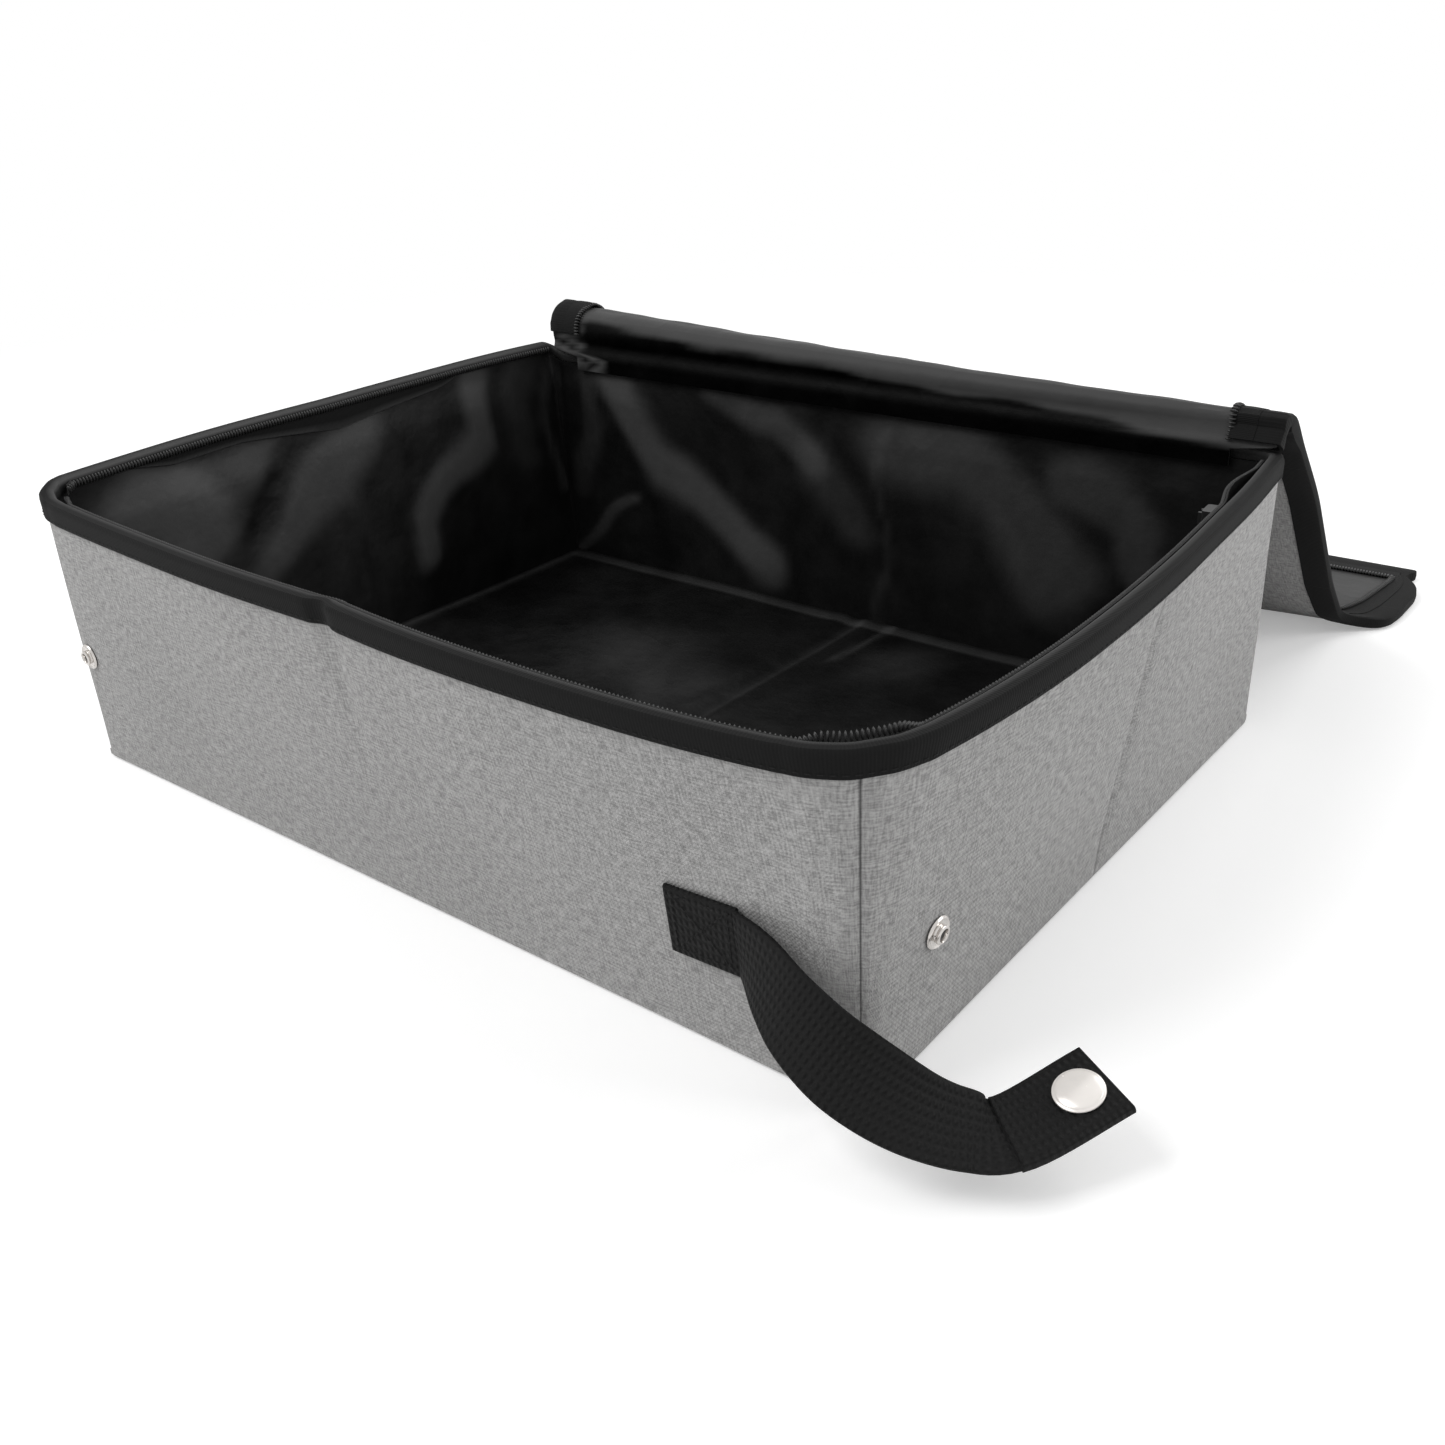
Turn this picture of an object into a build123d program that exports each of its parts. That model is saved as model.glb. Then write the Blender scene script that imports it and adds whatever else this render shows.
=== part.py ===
from build123d import *
from math import asin, atan2, cos, degrees, hypot, radians, sin, sqrt
import os

os.makedirs("parts", exist_ok=True)

# A cloth litter tray that folds flat, with a lid that zips round its rim.
# X runs along the long side, the front wall is at -Y, and Z is up from the ground.

# The tray, measured outside
tray_length = 396.0
tray_width = 302.0
rim_height = 118.0

# The layers of a wall, from the outside in, and of the floor, from the ground up
cover_thickness = 0.8
board_thickness = 2.4
lining_thickness = 0.5
layer_gap = 0.3
floor_cover_thickness = 0.8
floor_pad_thickness = 2.2
floor_lining_thickness = 0.5
floor_gap = 0.2
floor_inset = 0.6
floor_corner_radius = 4.0
wall_seat_gap = 0.3

# How far each wall bows outward at its rim, at its ends, its middles and its creases
half_shares = (0, 0.5, 1)
side_crease_bow = 15.0
right_front_bow = 14.5
right_rear_bow = 9.0
right_front_end_bow = 3.0
right_rear_end_bow = 1.0
left_front_bow = 14.0
left_rear_bow = 13.5
left_end_bow = 5.0
front_crease_bow = 12.5
front_right_bow = 15.5
front_left_bow = 11.0
front_end_bow = 2.0

# The stiff boards stop short of every crease and corner, so that the cloth can bend there
board_crease_gap = 16.0
board_corner_gap = 24.0
board_rim_gap = 5.0
board_foot_gap = 2.0
panel_gap = 0.3
corner_gap = 0.3

# The binding folded over the rim, and the zip tape sewn inside it
binding_height = 12.0
binding_thickness = 1.0
binding_gap = 0.2
binding_cap_inset = 0.4
binding_seat_gap = 0.2
tape_height = 20.0
tape_thickness = 0.7
tape_rim_gap = 1.5
coil_depth = 1.7
coil_height = 3.0
coil_drop = 2.4
coil_lap = 0.2
zip_hinge_gap = 0.2
zip_corner_gap = 0.5

# The lid, which hinges on the rear rim, rolls back over it and lies on the ground behind
lid_hinge_inset = 2.0
lid_rise = 22.9
lid_lean = 8.0
lid_roll_sink = 11.5
lid_roll_sink_lean = 1.2
lid_rear_length = 177.0
lid_reach = 296.0
lid_width = 397.0
lid_board_thickness = 2.0
lid_cover_thickness = 0.8
lid_lining_thickness = 0.5
lid_gap = 0.2
lid_rim_clearance = 2.4
lid_ground_clearance = 0.4
lid_strip_tail = 5.7
lid_fold_gap = 0.2
lid_board_fold_gap = 6.0
lid_corner_radius = 16.0
lid_binding_width = 12.0
lid_binding_skin = 0.45
lid_binding_gap = 0.2
lid_tape_width = 10.0
lid_coil_size = 1.8
lid_tape_gap = 0.3
lid_tape_fold_gap = 2.0

# The strap, sewn to the front wall, free past its stitches
strap_width = 25.0
strap_thickness = 1.5
strap_height = 46.0
strap_sewn_inset = 40.0
strap_sewn_length = 23.0
strap_seat_gap = 0.5
strap_free_length = 130.0
strap_hinge_gap = 0.8
cap_radius = 7.5
cap_height = 2.4
cap_edge = 0.8
cap_setback = 8.8
cap_gap = 0.2
socket_radius = 6.0
socket_height = 3.2
socket_mouth_radius = 3.2

# The two studs that the strap snaps on
stud_flange_radius = 5.5
stud_flange = 0.9
stud_neck_radius = 2.4
stud_bead_radius = 2.9
stud_height = 4.0
stud_bead = 1.4
stud_seat_gap = 0.3
stud_rounding = 0.3
stud_post_radius = 1.4
stud_post_clearance = 0.3
rivet_radius = 5.0
rivet_thickness = 0.8
front_stud_inset = 10.0
front_stud_height = 50.0
side_stud_inset = 36.0
side_stud_height = 45.0

# The zip slider on the right wall, and its pull
slider_place = 80.0
slider_length = 9.0
slider_depth = 4.6
slider_height = 7.0
slider_gap = 0.7
slide_back = 25.0
slide_forward = 60.0
slider_drop = 1.2
slider_rounding = 1.2
slider_bridge_length = 5.0
slider_bridge_depth = 1.6
slider_bridge_height = 4.4
pull_length = 20.0
pull_width = 5.0
pull_thickness = 1.2
pull_gap = 0.85
pull_hole_radius = 1.3
pull_rounding = 1.6
cut_overrun = 5.0

half_length = tray_length / 2
half_width = tray_width / 2
floor_thickness = floor_cover_thickness + floor_pad_thickness + floor_lining_thickness + 2 * floor_gap
wall_foot = floor_thickness + wall_seat_gap
strap_sewn_end = half_length - strap_sewn_inset
strap_sewn_start = strap_sewn_end - strap_sewn_length
wall_thickness = cover_thickness + board_thickness + lining_thickness + 2 * layer_gap
cover_depths = (-cover_thickness, 0)
board_depths = (-cover_thickness - layer_gap - board_thickness, -cover_thickness - layer_gap)
lining_depths = (-wall_thickness, lining_thickness - wall_thickness)
skin_top = rim_height - binding_thickness - binding_seat_gap
board_heights = (wall_foot + board_foot_gap, rim_height - board_rim_gap)
tape_depths = (-wall_thickness - layer_gap - tape_thickness, -wall_thickness - layer_gap)
coil_depths = (tape_depths[0] - coil_depth + coil_lap, tape_depths[0] + coil_lap)
zip_top = rim_height - tape_rim_gap
coil_top = zip_top - coil_drop + coil_height / 2
hinge_depth = -coil_depths[0] + zip_hinge_gap
side_end = half_width - wall_thickness - corner_gap
zip_side_end = half_width - hinge_depth - zip_corner_gap
zip_front_end = half_length - hinge_depth - zip_corner_gap

# The hinge lines of the folding walls: the corners turn inside the lining, the side creases outside the cloth
corner_hinge = (half_length - hinge_depth, half_width - hinge_depth)
crease_hinge = (half_length + side_crease_bow + binding_gap + binding_thickness + 2 * layer_gap, 0)
print("corner hinge", corner_hinge, "crease hinge", crease_hinge)


def on_side(side, along, out):
    """The plan point that lies so far along a wall and so far outside its foot."""
    if side == "front":
        return (along, -half_width - out)
    if side == "rear":
        return (along, half_width + out)
    if side == "right":
        return (half_length + out, along)
    return (-half_length - out, along)


def rise(height):
    """The share of a wall's full bow that it has at a height."""
    return (height - wall_foot) / (rim_height - wall_foot)


def bow_between(knots, along):
    """The rim's bow at a place along a wall, on the parabola through three knots."""
    (a, p), (b, q), (c, r) = knots
    at_a = p * (along - b) * (along - c) / ((a - b) * (a - c))
    at_b = q * (along - a) * (along - c) / ((b - a) * (b - c))
    at_c = r * (along - a) * (along - b) / ((c - a) * (c - b))
    return at_a + at_b + at_c


def trimmed(knots, start, end):
    """The same bow between two other places along the wall."""
    places = (start, (start + end) / 2, end)
    return [(place, bow_between(knots, place)) for place in places]


def bowed_edge(side, knots, out, share):
    """One edge of a wall's section: an arc through its three knots, or a line where the wall is straight."""
    three = [on_side(side, along, out + bow * share) for along, bow in knots]
    (x0, y0), (x1, y1), (x2, y2) = three
    area = (x1 - x0) * (y2 - y0) - (x2 - x0) * (y1 - y0)
    if abs(area) < layer_gap * layer_gap:
        Line(three[0], three[2])
    else:
        ThreePointArc(*three)


def wall_run(side, knots, depths, heights):
    """A sheet of a wall between two depths behind its face and two heights, bowed more toward the rim."""
    with BuildPart() as run:
        for height in heights:
            share = rise(height)
            with BuildSketch(Plane.XY.offset(height)):
                with BuildLine():
                    bowed_edge(side, knots, depths[1], share)
                    bowed_edge(side, knots, depths[0], share)
                    for along, bow in (knots[0], knots[-1]):
                        inner = on_side(side, along, depths[0] + bow * share)
                        Line(inner, on_side(side, along, depths[1] + bow * share))
                make_face()
        loft(ruled=True)
    return run.part


def wall_sheet(side, knots, depths, heights):
    """A sheet of a wall: one run for each three knots, joined where they meet."""
    with BuildPart() as sheet:
        for first in range(0, len(knots) - 2, 2):
            add(wall_run(side, knots[first : first + 3], depths, heights))
    return sheet.part


def save(part, name):
    """Labels a finished piece and writes it under its node's name."""
    part.label = name
    export_step(part, f"parts/{name}.step")


def rim_binding(side, knots):
    """A binding: a strip down the outside of the rim, with a cap over the wall's layers."""
    outer = (binding_gap, binding_gap + binding_thickness)
    cap = (-wall_thickness, outer[1] - binding_cap_inset)
    with BuildPart() as binding:
        add(wall_sheet(side, knots, outer, (rim_height - binding_height, rim_height)))
        add(wall_sheet(side, knots, cap, (rim_height - binding_thickness, rim_height)))
    return binding.part


def zip_chain(side, knots):
    """Zip tape sewn inside the rim, with its coil along the top."""
    with BuildPart() as chain:
        add(wall_sheet(side, knots, tape_depths, (zip_top - tape_height, zip_top)))
        add(wall_sheet(side, knots, coil_depths, (coil_top - coil_height, coil_top)))
    return chain.part


def post_holes(part, side, along, height):
    """Opens a hole for a stud's post through a sheet."""
    with BuildPart() as drilled:
        add(part)
        with BuildSketch(stud_plane(side, along, height)):
            Circle(stud_post_radius + stud_post_clearance)
        extrude(amount=cut_overrun + wall_thickness, both=True, mode=Mode.SUBTRACT)
    return drilled.part


def stud_plane(side, along, height):
    """The plane that a stud's flange lies on, facing away from the wall."""
    knots = stud_knots[side]
    bow = bow_between(knots, along)
    spread = bow_between(knots, along + stud_flange_radius) - bow_between(knots, along - stud_flange_radius)
    foot = Vector(*on_side(side, along, 0))
    outward = Vector(*on_side(side, along, stud_height)) - foot
    sideways = Vector(*on_side(side, along + stud_height, 0)) - foot
    lean = stud_height * bow / (rim_height - wall_foot)
    facing = outward - sideways * (spread * rise(height) / (2 * stud_flange_radius)) - Vector(0, 0, lean)
    seat = Vector(*on_side(side, along, bow * rise(height)))
    return Plane(origin=seat + Vector(0, 0, height) + facing.normalized() * stud_seat_gap, z_dir=facing)


# The two halves of each side wall, from the crease to the corner
side_halves = {
    "right_rear": ("right", 1, (side_crease_bow, right_rear_bow, right_rear_end_bow)),
    "right_front": ("right", -1, (side_crease_bow, right_front_bow, right_front_end_bow)),
    "left_rear": ("left", 1, (side_crease_bow, left_rear_bow, left_end_bow)),
    "left_front": ("left", -1, (side_crease_bow, left_front_bow, left_end_bow)),
}


def half_knots(sign, bows, start, end):
    """The knots of a half wall between two distances from its crease."""
    whole = [(sign * share * side_end, bow) for share, bow in zip(half_shares, bows)]
    return trimmed(whole, sign * start, sign * end)


front_left_knots = [(-half_length, front_end_bow), (-half_length / 2, front_left_bow), (0, front_crease_bow)]
front_right_knots = [(0, front_crease_bow), (half_length / 2, front_right_bow), (half_length, front_end_bow)]
front_knots = front_left_knots + front_right_knots[1:]
rear_knots = [(-half_length, 0), (0, 0), (half_length, 0)]
front_stud_along = -half_length + front_stud_inset
side_stud_along = -half_width + side_stud_inset
right_front_knots = half_knots(-1, side_halves["right_front"][2], 0, side_end)
stud_knots = {"front": front_left_knots, "right": right_front_knots}

# The floor: outer cloth, padding and waterproof lining, all of them soft
floor_length = tray_length - 2 * floor_inset
floor_width = tray_width - 2 * floor_inset
floor_layers = {
    "floor_cover": (0, floor_cover_thickness),
    "floor_pad": (floor_cover_thickness + floor_gap, floor_pad_thickness),
    "floor_lining": (floor_thickness - floor_lining_thickness, floor_lining_thickness),
}
for name, (height, thickness) in floor_layers.items():
    with BuildPart() as floor_layer:
        with BuildSketch(Plane.XY.offset(height)):
            RectangleRounded(floor_length, floor_width, floor_corner_radius)
        extrude(amount=thickness)
    save(floor_layer.part, name)

# The side walls
for name, (side, sign, bows) in side_halves.items():
    skin = half_knots(sign, bows, panel_gap, side_end)
    stiff = half_knots(sign, bows, board_crease_gap, side_end - board_corner_gap)
    zipped = half_knots(sign, bows, panel_gap, zip_side_end)
    sheets = {
        "cover": wall_sheet(side, skin, cover_depths, (wall_foot, skin_top)),
        "board": wall_sheet(side, stiff, board_depths, board_heights),
        "lining": wall_sheet(side, skin, lining_depths, (wall_foot, skin_top)),
    }
    if name == "right_front":
        for layer, sheet in sheets.items():
            sheets[layer] = post_holes(sheet, side, side_stud_along, side_stud_height)
    for layer, sheet in sheets.items():
        save(sheet, f"{name}_{layer}")
    save(rim_binding(side, skin), f"{name}_binding")
    save(zip_chain(side, zipped), f"{name}_zip")

# The front wall, creased at its middle like the rear wall
front_boards = {
    "front_left_board": (-half_length + board_corner_gap, -board_crease_gap, front_left_knots),
    "front_right_board": (board_crease_gap, half_length - board_corner_gap, front_right_knots),
}
for name, (start, end, knots) in front_boards.items():
    board = wall_sheet("front", trimmed(knots, start, end), board_depths, board_heights)
    save(board, name)
for layer, depths in {"cover": cover_depths, "lining": lining_depths}.items():
    sheet = wall_sheet("front", front_knots, depths, (wall_foot, skin_top))
    save(post_holes(sheet, "front", front_stud_along, front_stud_height), f"front_{layer}")
save(rim_binding("front", front_knots), "front_binding")
zip_left = trimmed(front_left_knots, -zip_front_end, 0)
zip_right = trimmed(front_right_knots, 0, zip_front_end)
save(zip_chain("front", zip_left + zip_right[1:]), "front_zip")

# The rear wall, which stays on the floor when the others fold
rear_boards = {
    "rear_left_board": (-half_length + board_corner_gap, -board_crease_gap),
    "rear_right_board": (board_crease_gap, half_length - board_corner_gap),
}
for name, (start, end) in rear_boards.items():
    knots = trimmed(rear_knots, start, end)
    save(wall_sheet("rear", knots, board_depths, board_heights), name)
save(wall_sheet("rear", rear_knots, cover_depths, (wall_foot, skin_top)), "rear_cover")
save(wall_sheet("rear", rear_knots, lining_depths, (wall_foot, skin_top)), "rear_lining")
save(rim_binding("rear", rear_knots), "rear_binding")


# The lid's three panels: each plane lies on the cover's face, its Y down the lid and its Z toward the lining
lid_thickness = lid_cover_thickness + lid_board_thickness + lid_lining_thickness + 2 * lid_gap
strip_thickness = lid_cover_thickness + lid_lining_thickness + lid_gap
hinge_point = (half_width - lid_hinge_inset, rim_height + lid_rim_clearance + lid_thickness)
roll_point = (hinge_point[0] + lid_lean, hinge_point[1] + lid_rise)
strip_length = hypot(lid_lean, lid_rise)
strip_angle = degrees(atan2(lid_rise, lid_lean))
ground_lining = lid_ground_clearance + lid_thickness
fall = roll_point[1] - ground_lining
slope_reach = hypot(lid_rear_length, lid_thickness)
slope_angle = -degrees(asin(fall / slope_reach) + atan2(lid_thickness, lid_rear_length))
slope_way = (cos(radians(slope_angle)), sin(radians(slope_angle)))
fold_point = (
    roll_point[0] + lid_rear_length * slope_way[0] - lid_thickness * slope_way[1],
    roll_point[1] + lid_rear_length * slope_way[1] + lid_thickness * slope_way[0],
)
lid_front_length = lid_reach - strip_length - lid_rear_length
print("lid hinge", hinge_point, "roll", roll_point, "fold", fold_point)
print("strip angle", strip_angle, "slope angle", slope_angle, "front panel", lid_front_length)


def lid_plane(start, angle):
    """The plane of a lid panel's cover face from its hinge line."""
    across = Vector(0, -sin(radians(angle)), cos(radians(angle)))
    return Plane(origin=(0, start[0], start[1]), x_dir=(1, 0, 0), z_dir=across)


front_plane = lid_plane((fold_point[0], fold_point[1] - lid_thickness), 0)


def roll_corner(x):
    """The roll's corner on the cover's face, in (Y, Z): its cloth is slack, and sinks toward the right."""
    share = x / lid_width + 1 / 2
    return Vector(roll_point[0] - share * lid_roll_sink_lean, roll_point[1] - share * lid_roll_sink)


def strip_ends(x, start, gap):
    """Where the strip starts and ends on its cover's face, past the rim's hinge and short of the roll."""
    hinge = Vector(*hinge_point)
    way = (roll_corner(x) - hinge).normalized()
    return hinge + way * start, roll_corner(x) - way * gap


def slope_ends(x, start, end):
    """Where a layer of the sloping panel starts and ends on its cover's face."""
    span = Vector(*fold_point) - roll_corner(x)
    length = sqrt(span.length**2 - lid_thickness**2)
    angle = atan2(span.Y, span.X) - atan2(lid_thickness, length)
    way = Vector(cos(angle), sin(angle))
    return roll_corner(x) + way * start, roll_corner(x) + way * (length + end - lid_rear_length)


def lid_band(ends, sides, start, end, depth, thickness):
    """A layer of a lid panel, lofted from its left side to its right side."""
    with BuildPart() as layer:
        for x in sorted(sides):
            first, last = ends(x, start, end)
            way = (last - first).normalized()
            across = Vector(-way.Y, way.X)
            lower = [first + across * depth, last + across * depth]
            upper = [point + across * thickness for point in reversed(lower)]
            with BuildSketch(Plane(origin=(x, 0, 0), x_dir=(0, 1, 0), z_dir=(1, 0, 0))):
                with BuildLine():
                    Polyline(*lower, *upper, close=True)
                make_face()
        loft(ruled=True)
    return layer.part


def flat_at(middle):
    """The slope's ends at one distance across it, for a band that stays flat across its width."""
    return lambda x, start, end: slope_ends(middle, start, end)


def lid_layer(ends, width, start, end, depth, thickness):
    """A layer about the lid's middle."""
    return lid_band(ends, (-width / 2, width / 2), start, end, depth, thickness)


def lid_tongue(plane, width, start, end, radius, depth, thickness):
    """A layer of the lid's last panel, with its two far corners rounded."""
    with BuildPart() as tongue:
        with BuildSketch(plane.offset(depth)) as outline:
            with Locations((0, (start + end) / 2)):
                Rectangle(width, end - start)
            fillet(outline.vertices().group_by(Axis.Y)[-1], radius)
        extrude(amount=thickness)
    return tongue.part


lid_lining_depth = lid_thickness - lid_lining_thickness
lid_board_depth = lid_cover_thickness + lid_gap
inner_width = lid_width - 2 * lid_binding_width
skin_inset = lid_binding_width + lid_binding_gap
skin_width = lid_width - 2 * skin_inset
pocket = lid_thickness - 2 * lid_binding_skin
board_inset = lid_binding_gap + lid_binding_skin

# The strip between the rear rim and the roll
strip_run = (lid_width, -lid_strip_tail, lid_fold_gap)
strip_lining_depth = lid_cover_thickness + lid_gap
save(lid_layer(strip_ends, *strip_run, 0, lid_cover_thickness), "lid_strip_cover")
save(lid_layer(strip_ends, *strip_run, strip_lining_depth, lid_lining_thickness), "lid_strip_lining")

# The lid's rear panel, which slopes down behind the tray
slope_start = lid_fold_gap
slope_end = lid_rear_length - lid_fold_gap
save(lid_layer(slope_ends, skin_width, slope_start, slope_end, 0, lid_cover_thickness), "lid_rear_cover")
save(
    lid_layer(slope_ends, skin_width, slope_start, slope_end, lid_lining_depth, lid_lining_thickness),
    "lid_rear_lining",
)
board_run = (lid_board_fold_gap, lid_rear_length - lid_board_fold_gap)
save(
    lid_layer(slope_ends, lid_width - 2 * board_inset, *board_run, lid_board_depth, lid_board_thickness),
    "lid_rear_board",
)
past_slope = (-cut_overrun, lid_rear_length + cut_overrun)
past_face = (-cut_overrun, lid_thickness + 2 * cut_overrun)
pocket_width = lid_width - 2 * lid_binding_skin
with BuildPart() as rear_edges:
    for side in (-1, 1):
        inner, deep, outer = (side * span / 2 for span in (inner_width, pocket_width, lid_width))
        edge = flat_at((inner + outer) / 2)
        add(lid_band(edge, (inner, outer), slope_start, slope_end, 0, lid_thickness))
        cut = lid_band(edge, (inner - side * cut_overrun, deep), *past_slope, lid_binding_skin, pocket)
        add(cut, mode=Mode.SUBTRACT)
save(rear_edges.part, "lid_rear_binding")

# The lid's front panel, which lies on the ground
front_skin_end = lid_front_length - skin_inset
front_board_end = lid_front_length - board_inset
inner_radius = lid_corner_radius / 2
front_skin = (skin_width, lid_fold_gap, front_skin_end, inner_radius)
board_radius = lid_corner_radius - board_inset
front_stiff = (lid_width - 2 * board_inset, lid_board_fold_gap, front_board_end, board_radius)
save(lid_tongue(front_plane, *front_skin, 0, lid_cover_thickness), "lid_front_cover")
save(lid_tongue(front_plane, *front_skin, lid_lining_depth, lid_lining_thickness), "lid_front_lining")
save(lid_tongue(front_plane, *front_stiff, lid_board_depth, lid_board_thickness), "lid_front_board")
edge_outline = (lid_width, lid_fold_gap, lid_front_length, lid_corner_radius)
pocket_end = lid_front_length - lid_binding_skin
pocket_outline = (pocket_width, -cut_overrun, pocket_end, lid_corner_radius - lid_binding_skin)
inner_outline = (inner_width, -cut_overrun, lid_front_length - lid_binding_width, inner_radius)
with BuildPart() as front_edges:
    add(lid_tongue(front_plane, *edge_outline, 0, lid_thickness))
    add(lid_tongue(front_plane, *pocket_outline, lid_binding_skin, pocket), mode=Mode.SUBTRACT)
    add(lid_tongue(front_plane, *inner_outline, *past_face), mode=Mode.SUBTRACT)
save(front_edges.part, "lid_front_binding")

# The lid's zip tape lies on its lining inside the binding, with the coil along the inner edge
tape_depth = lid_thickness + lid_tape_gap
tape_span = inner_width - 2 * lid_tape_gap
web_span = tape_span - 2 * (lid_tape_width - lid_coil_size)
coil_span = tape_span - 2 * lid_tape_width
tape_run = (lid_tape_fold_gap, lid_rear_length - lid_tape_fold_gap)
bead_thickness = lid_coil_size - tape_thickness / 2
bead_depth = tape_depth + tape_thickness / 2
with BuildPart() as rear_tapes:
    for side in (-1, 1):
        inner, bead, outer = (side * span / 2 for span in (coil_span, web_span, tape_span))
        edge = flat_at((inner + outer) / 2)
        add(lid_band(edge, (inner, outer), *tape_run, tape_depth, tape_thickness))
        add(lid_band(edge, (inner, bead), *tape_run, bead_depth, bead_thickness))
save(rear_tapes.part, "lid_rear_zip")

tape_end = lid_front_length - lid_binding_width - lid_tape_gap
coil_end = tape_end - lid_tape_width
web_end = coil_end + lid_coil_size
tape_outline = (tape_span, lid_tape_fold_gap, tape_end, inner_radius)
web_outline = (web_span, lid_tape_fold_gap, web_end, inner_radius)
coil_outline = (coil_span, -cut_overrun, coil_end, inner_radius / 2)
with BuildPart() as front_tape:
    add(lid_tongue(front_plane, *tape_outline, tape_depth, tape_thickness))
    add(lid_tongue(front_plane, *web_outline, tape_depth, lid_coil_size))
    add(lid_tongue(front_plane, *coil_outline, *past_face), mode=Mode.SUBTRACT)
save(front_tape.part, "lid_front_zip")

# The strap's course, as shares of its free length from the end of its stitches, and its lean in degrees
strap_course_shares = [
    (0.10, -0.045, -0.015),
    (0.20, -0.085, -0.050),
    (0.30, -0.100, -0.092),
    (0.39, -0.085, -0.140),
    (0.485, -0.050, -0.190),
    (0.57, 0.005, -0.230),
    (0.645, 0.067, -0.243),
    (0.755, 0.258, -0.185),
]
strap_leans = [12, 24, 33, 46, 61, 72, 86, 86]


def strap_seat(along):
    """The strap's middle where it lies on the front wall."""
    bow = bow_between(front_right_knots, along) * rise(strap_height)
    x, y = on_side("front", along, bow + strap_seat_gap + strap_thickness / 2)
    return Vector(x, y, strap_height)


def strap_section(centre, along, lean):
    """The plane across the strap: X is its thickness, and Y its width, leaning to the left of its course."""
    level = Vector(along.X, along.Y, 0).normalized()
    left = Vector(-level.Y, level.X, 0)
    above = left.cross(along.normalized()) * -1
    wide = above * cos(radians(lean)) + left * sin(radians(lean))
    return Plane(origin=centre, x_dir=wide.cross(along.normalized()), z_dir=along.normalized())


def ribbon(planes):
    """A flat band through its sections."""
    with BuildPart() as band:
        for plane in planes:
            with BuildSketch(plane):
                Rectangle(strap_thickness, strap_width)
        loft(ruled=True)
    return band.part


sewn_lean = -degrees(atan2(bow_between(front_right_knots, strap_sewn_end), rim_height - wall_foot))
sewn = [strap_seat(strap_sewn_start), strap_seat(strap_sewn_end)]
sewn_way = sewn[1] - sewn[0]
save(ribbon([strap_section(point, sewn_way, sewn_lean) for point in sewn]), "strap_anchor")

first = sewn[1] + sewn_way.normalized() * strap_hinge_gap
course = [first]
for along, out, drop in strap_course_shares:
    course.append(first + Vector(along, out, drop) * strap_free_length)
leans = [sewn_lean] + strap_leans
end_way = course[-1] - course[-2]
sections = [strap_section(course[0], sewn_way, leans[0])]
for index in range(1, len(course) - 2):
    sections.append(strap_section(course[index], course[index + 1] - course[index - 1], leans[index]))
for index in (-2, -1):
    sections.append(strap_section(course[index], end_way, leans[index]))
run = sum((b - a).length for a, b in zip(course, course[1:]))
print("strap free run", run, "hinge", sewn[1], "axis", sections[0].y_dir, "end", course[-1])

# The snap's cap on the strap's upper face, its post through the strap, and its socket on the lower face
last = sections[-1]
cap_side = last.x_dir if last.x_dir.Z > 0 else last.x_dir * -1
snap_middle = course[-1] - end_way.normalized() * cap_setback
cap_reach = strap_thickness / 2 + cap_gap
snap_plane = Plane(origin=snap_middle, z_dir=cap_side)
with BuildPart() as webbing:
    add(ribbon(sections))
    with BuildSketch(snap_plane):
        Circle(stud_post_radius + stud_post_clearance)
    extrude(amount=cut_overrun, both=True, mode=Mode.SUBTRACT)
save(webbing.part, "strap_webbing")

with BuildPart() as snap_cap:
    with BuildSketch(snap_plane.offset(cap_reach)):
        Circle(cap_radius)
    extrude(amount=cap_height)
    fillet(snap_cap.faces().sort_by(Axis(snap_middle, cap_side))[-1].edges(), cap_height - cap_edge)
    with BuildSketch(snap_plane.offset(-cap_reach)):
        Circle(stud_post_radius)
    extrude(amount=2 * cap_reach + cap_edge / 2)
save(snap_cap.part, "snap_cap")
socket_plane = Plane(origin=snap_middle - cap_side * cap_reach, z_dir=cap_side * -1)
with BuildPart() as snap_socket:
    with BuildSketch(socket_plane):
        Circle(socket_radius)
        Circle(stud_post_radius + stud_post_clearance, mode=Mode.SUBTRACT)
    extrude(amount=socket_height)
    with BuildSketch(socket_plane.offset(cap_edge)):
        Circle(socket_mouth_radius)
    extrude(amount=socket_height, mode=Mode.SUBTRACT)
    rims = snap_socket.edges().filter_by(GeomType.CIRCLE).group_by(SortBy.RADIUS)[-1]
    fillet(rims, stud_rounding)
save(snap_socket.part, "snap_socket")


def snap_stud(plane):
    """A stud: a flange against the cover, a neck and a bead, bored for the rivet's post."""
    with BuildPart() as stud:
        for radius, start, end in (
            (stud_flange_radius, 0, stud_flange),
            (stud_neck_radius, 0, stud_height),
            (stud_bead_radius, stud_height - stud_bead, stud_height),
        ):
            with BuildSketch(plane.offset(start)):
                Circle(radius)
            extrude(amount=end - start)
        fillet(stud.edges().filter_by(GeomType.CIRCLE).group_by(SortBy.RADIUS)[-1], stud_rounding)
        with BuildSketch(plane):
            Circle(stud_post_radius)
        extrude(amount=stud_height - stud_bead, mode=Mode.SUBTRACT)
    return stud.part


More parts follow.
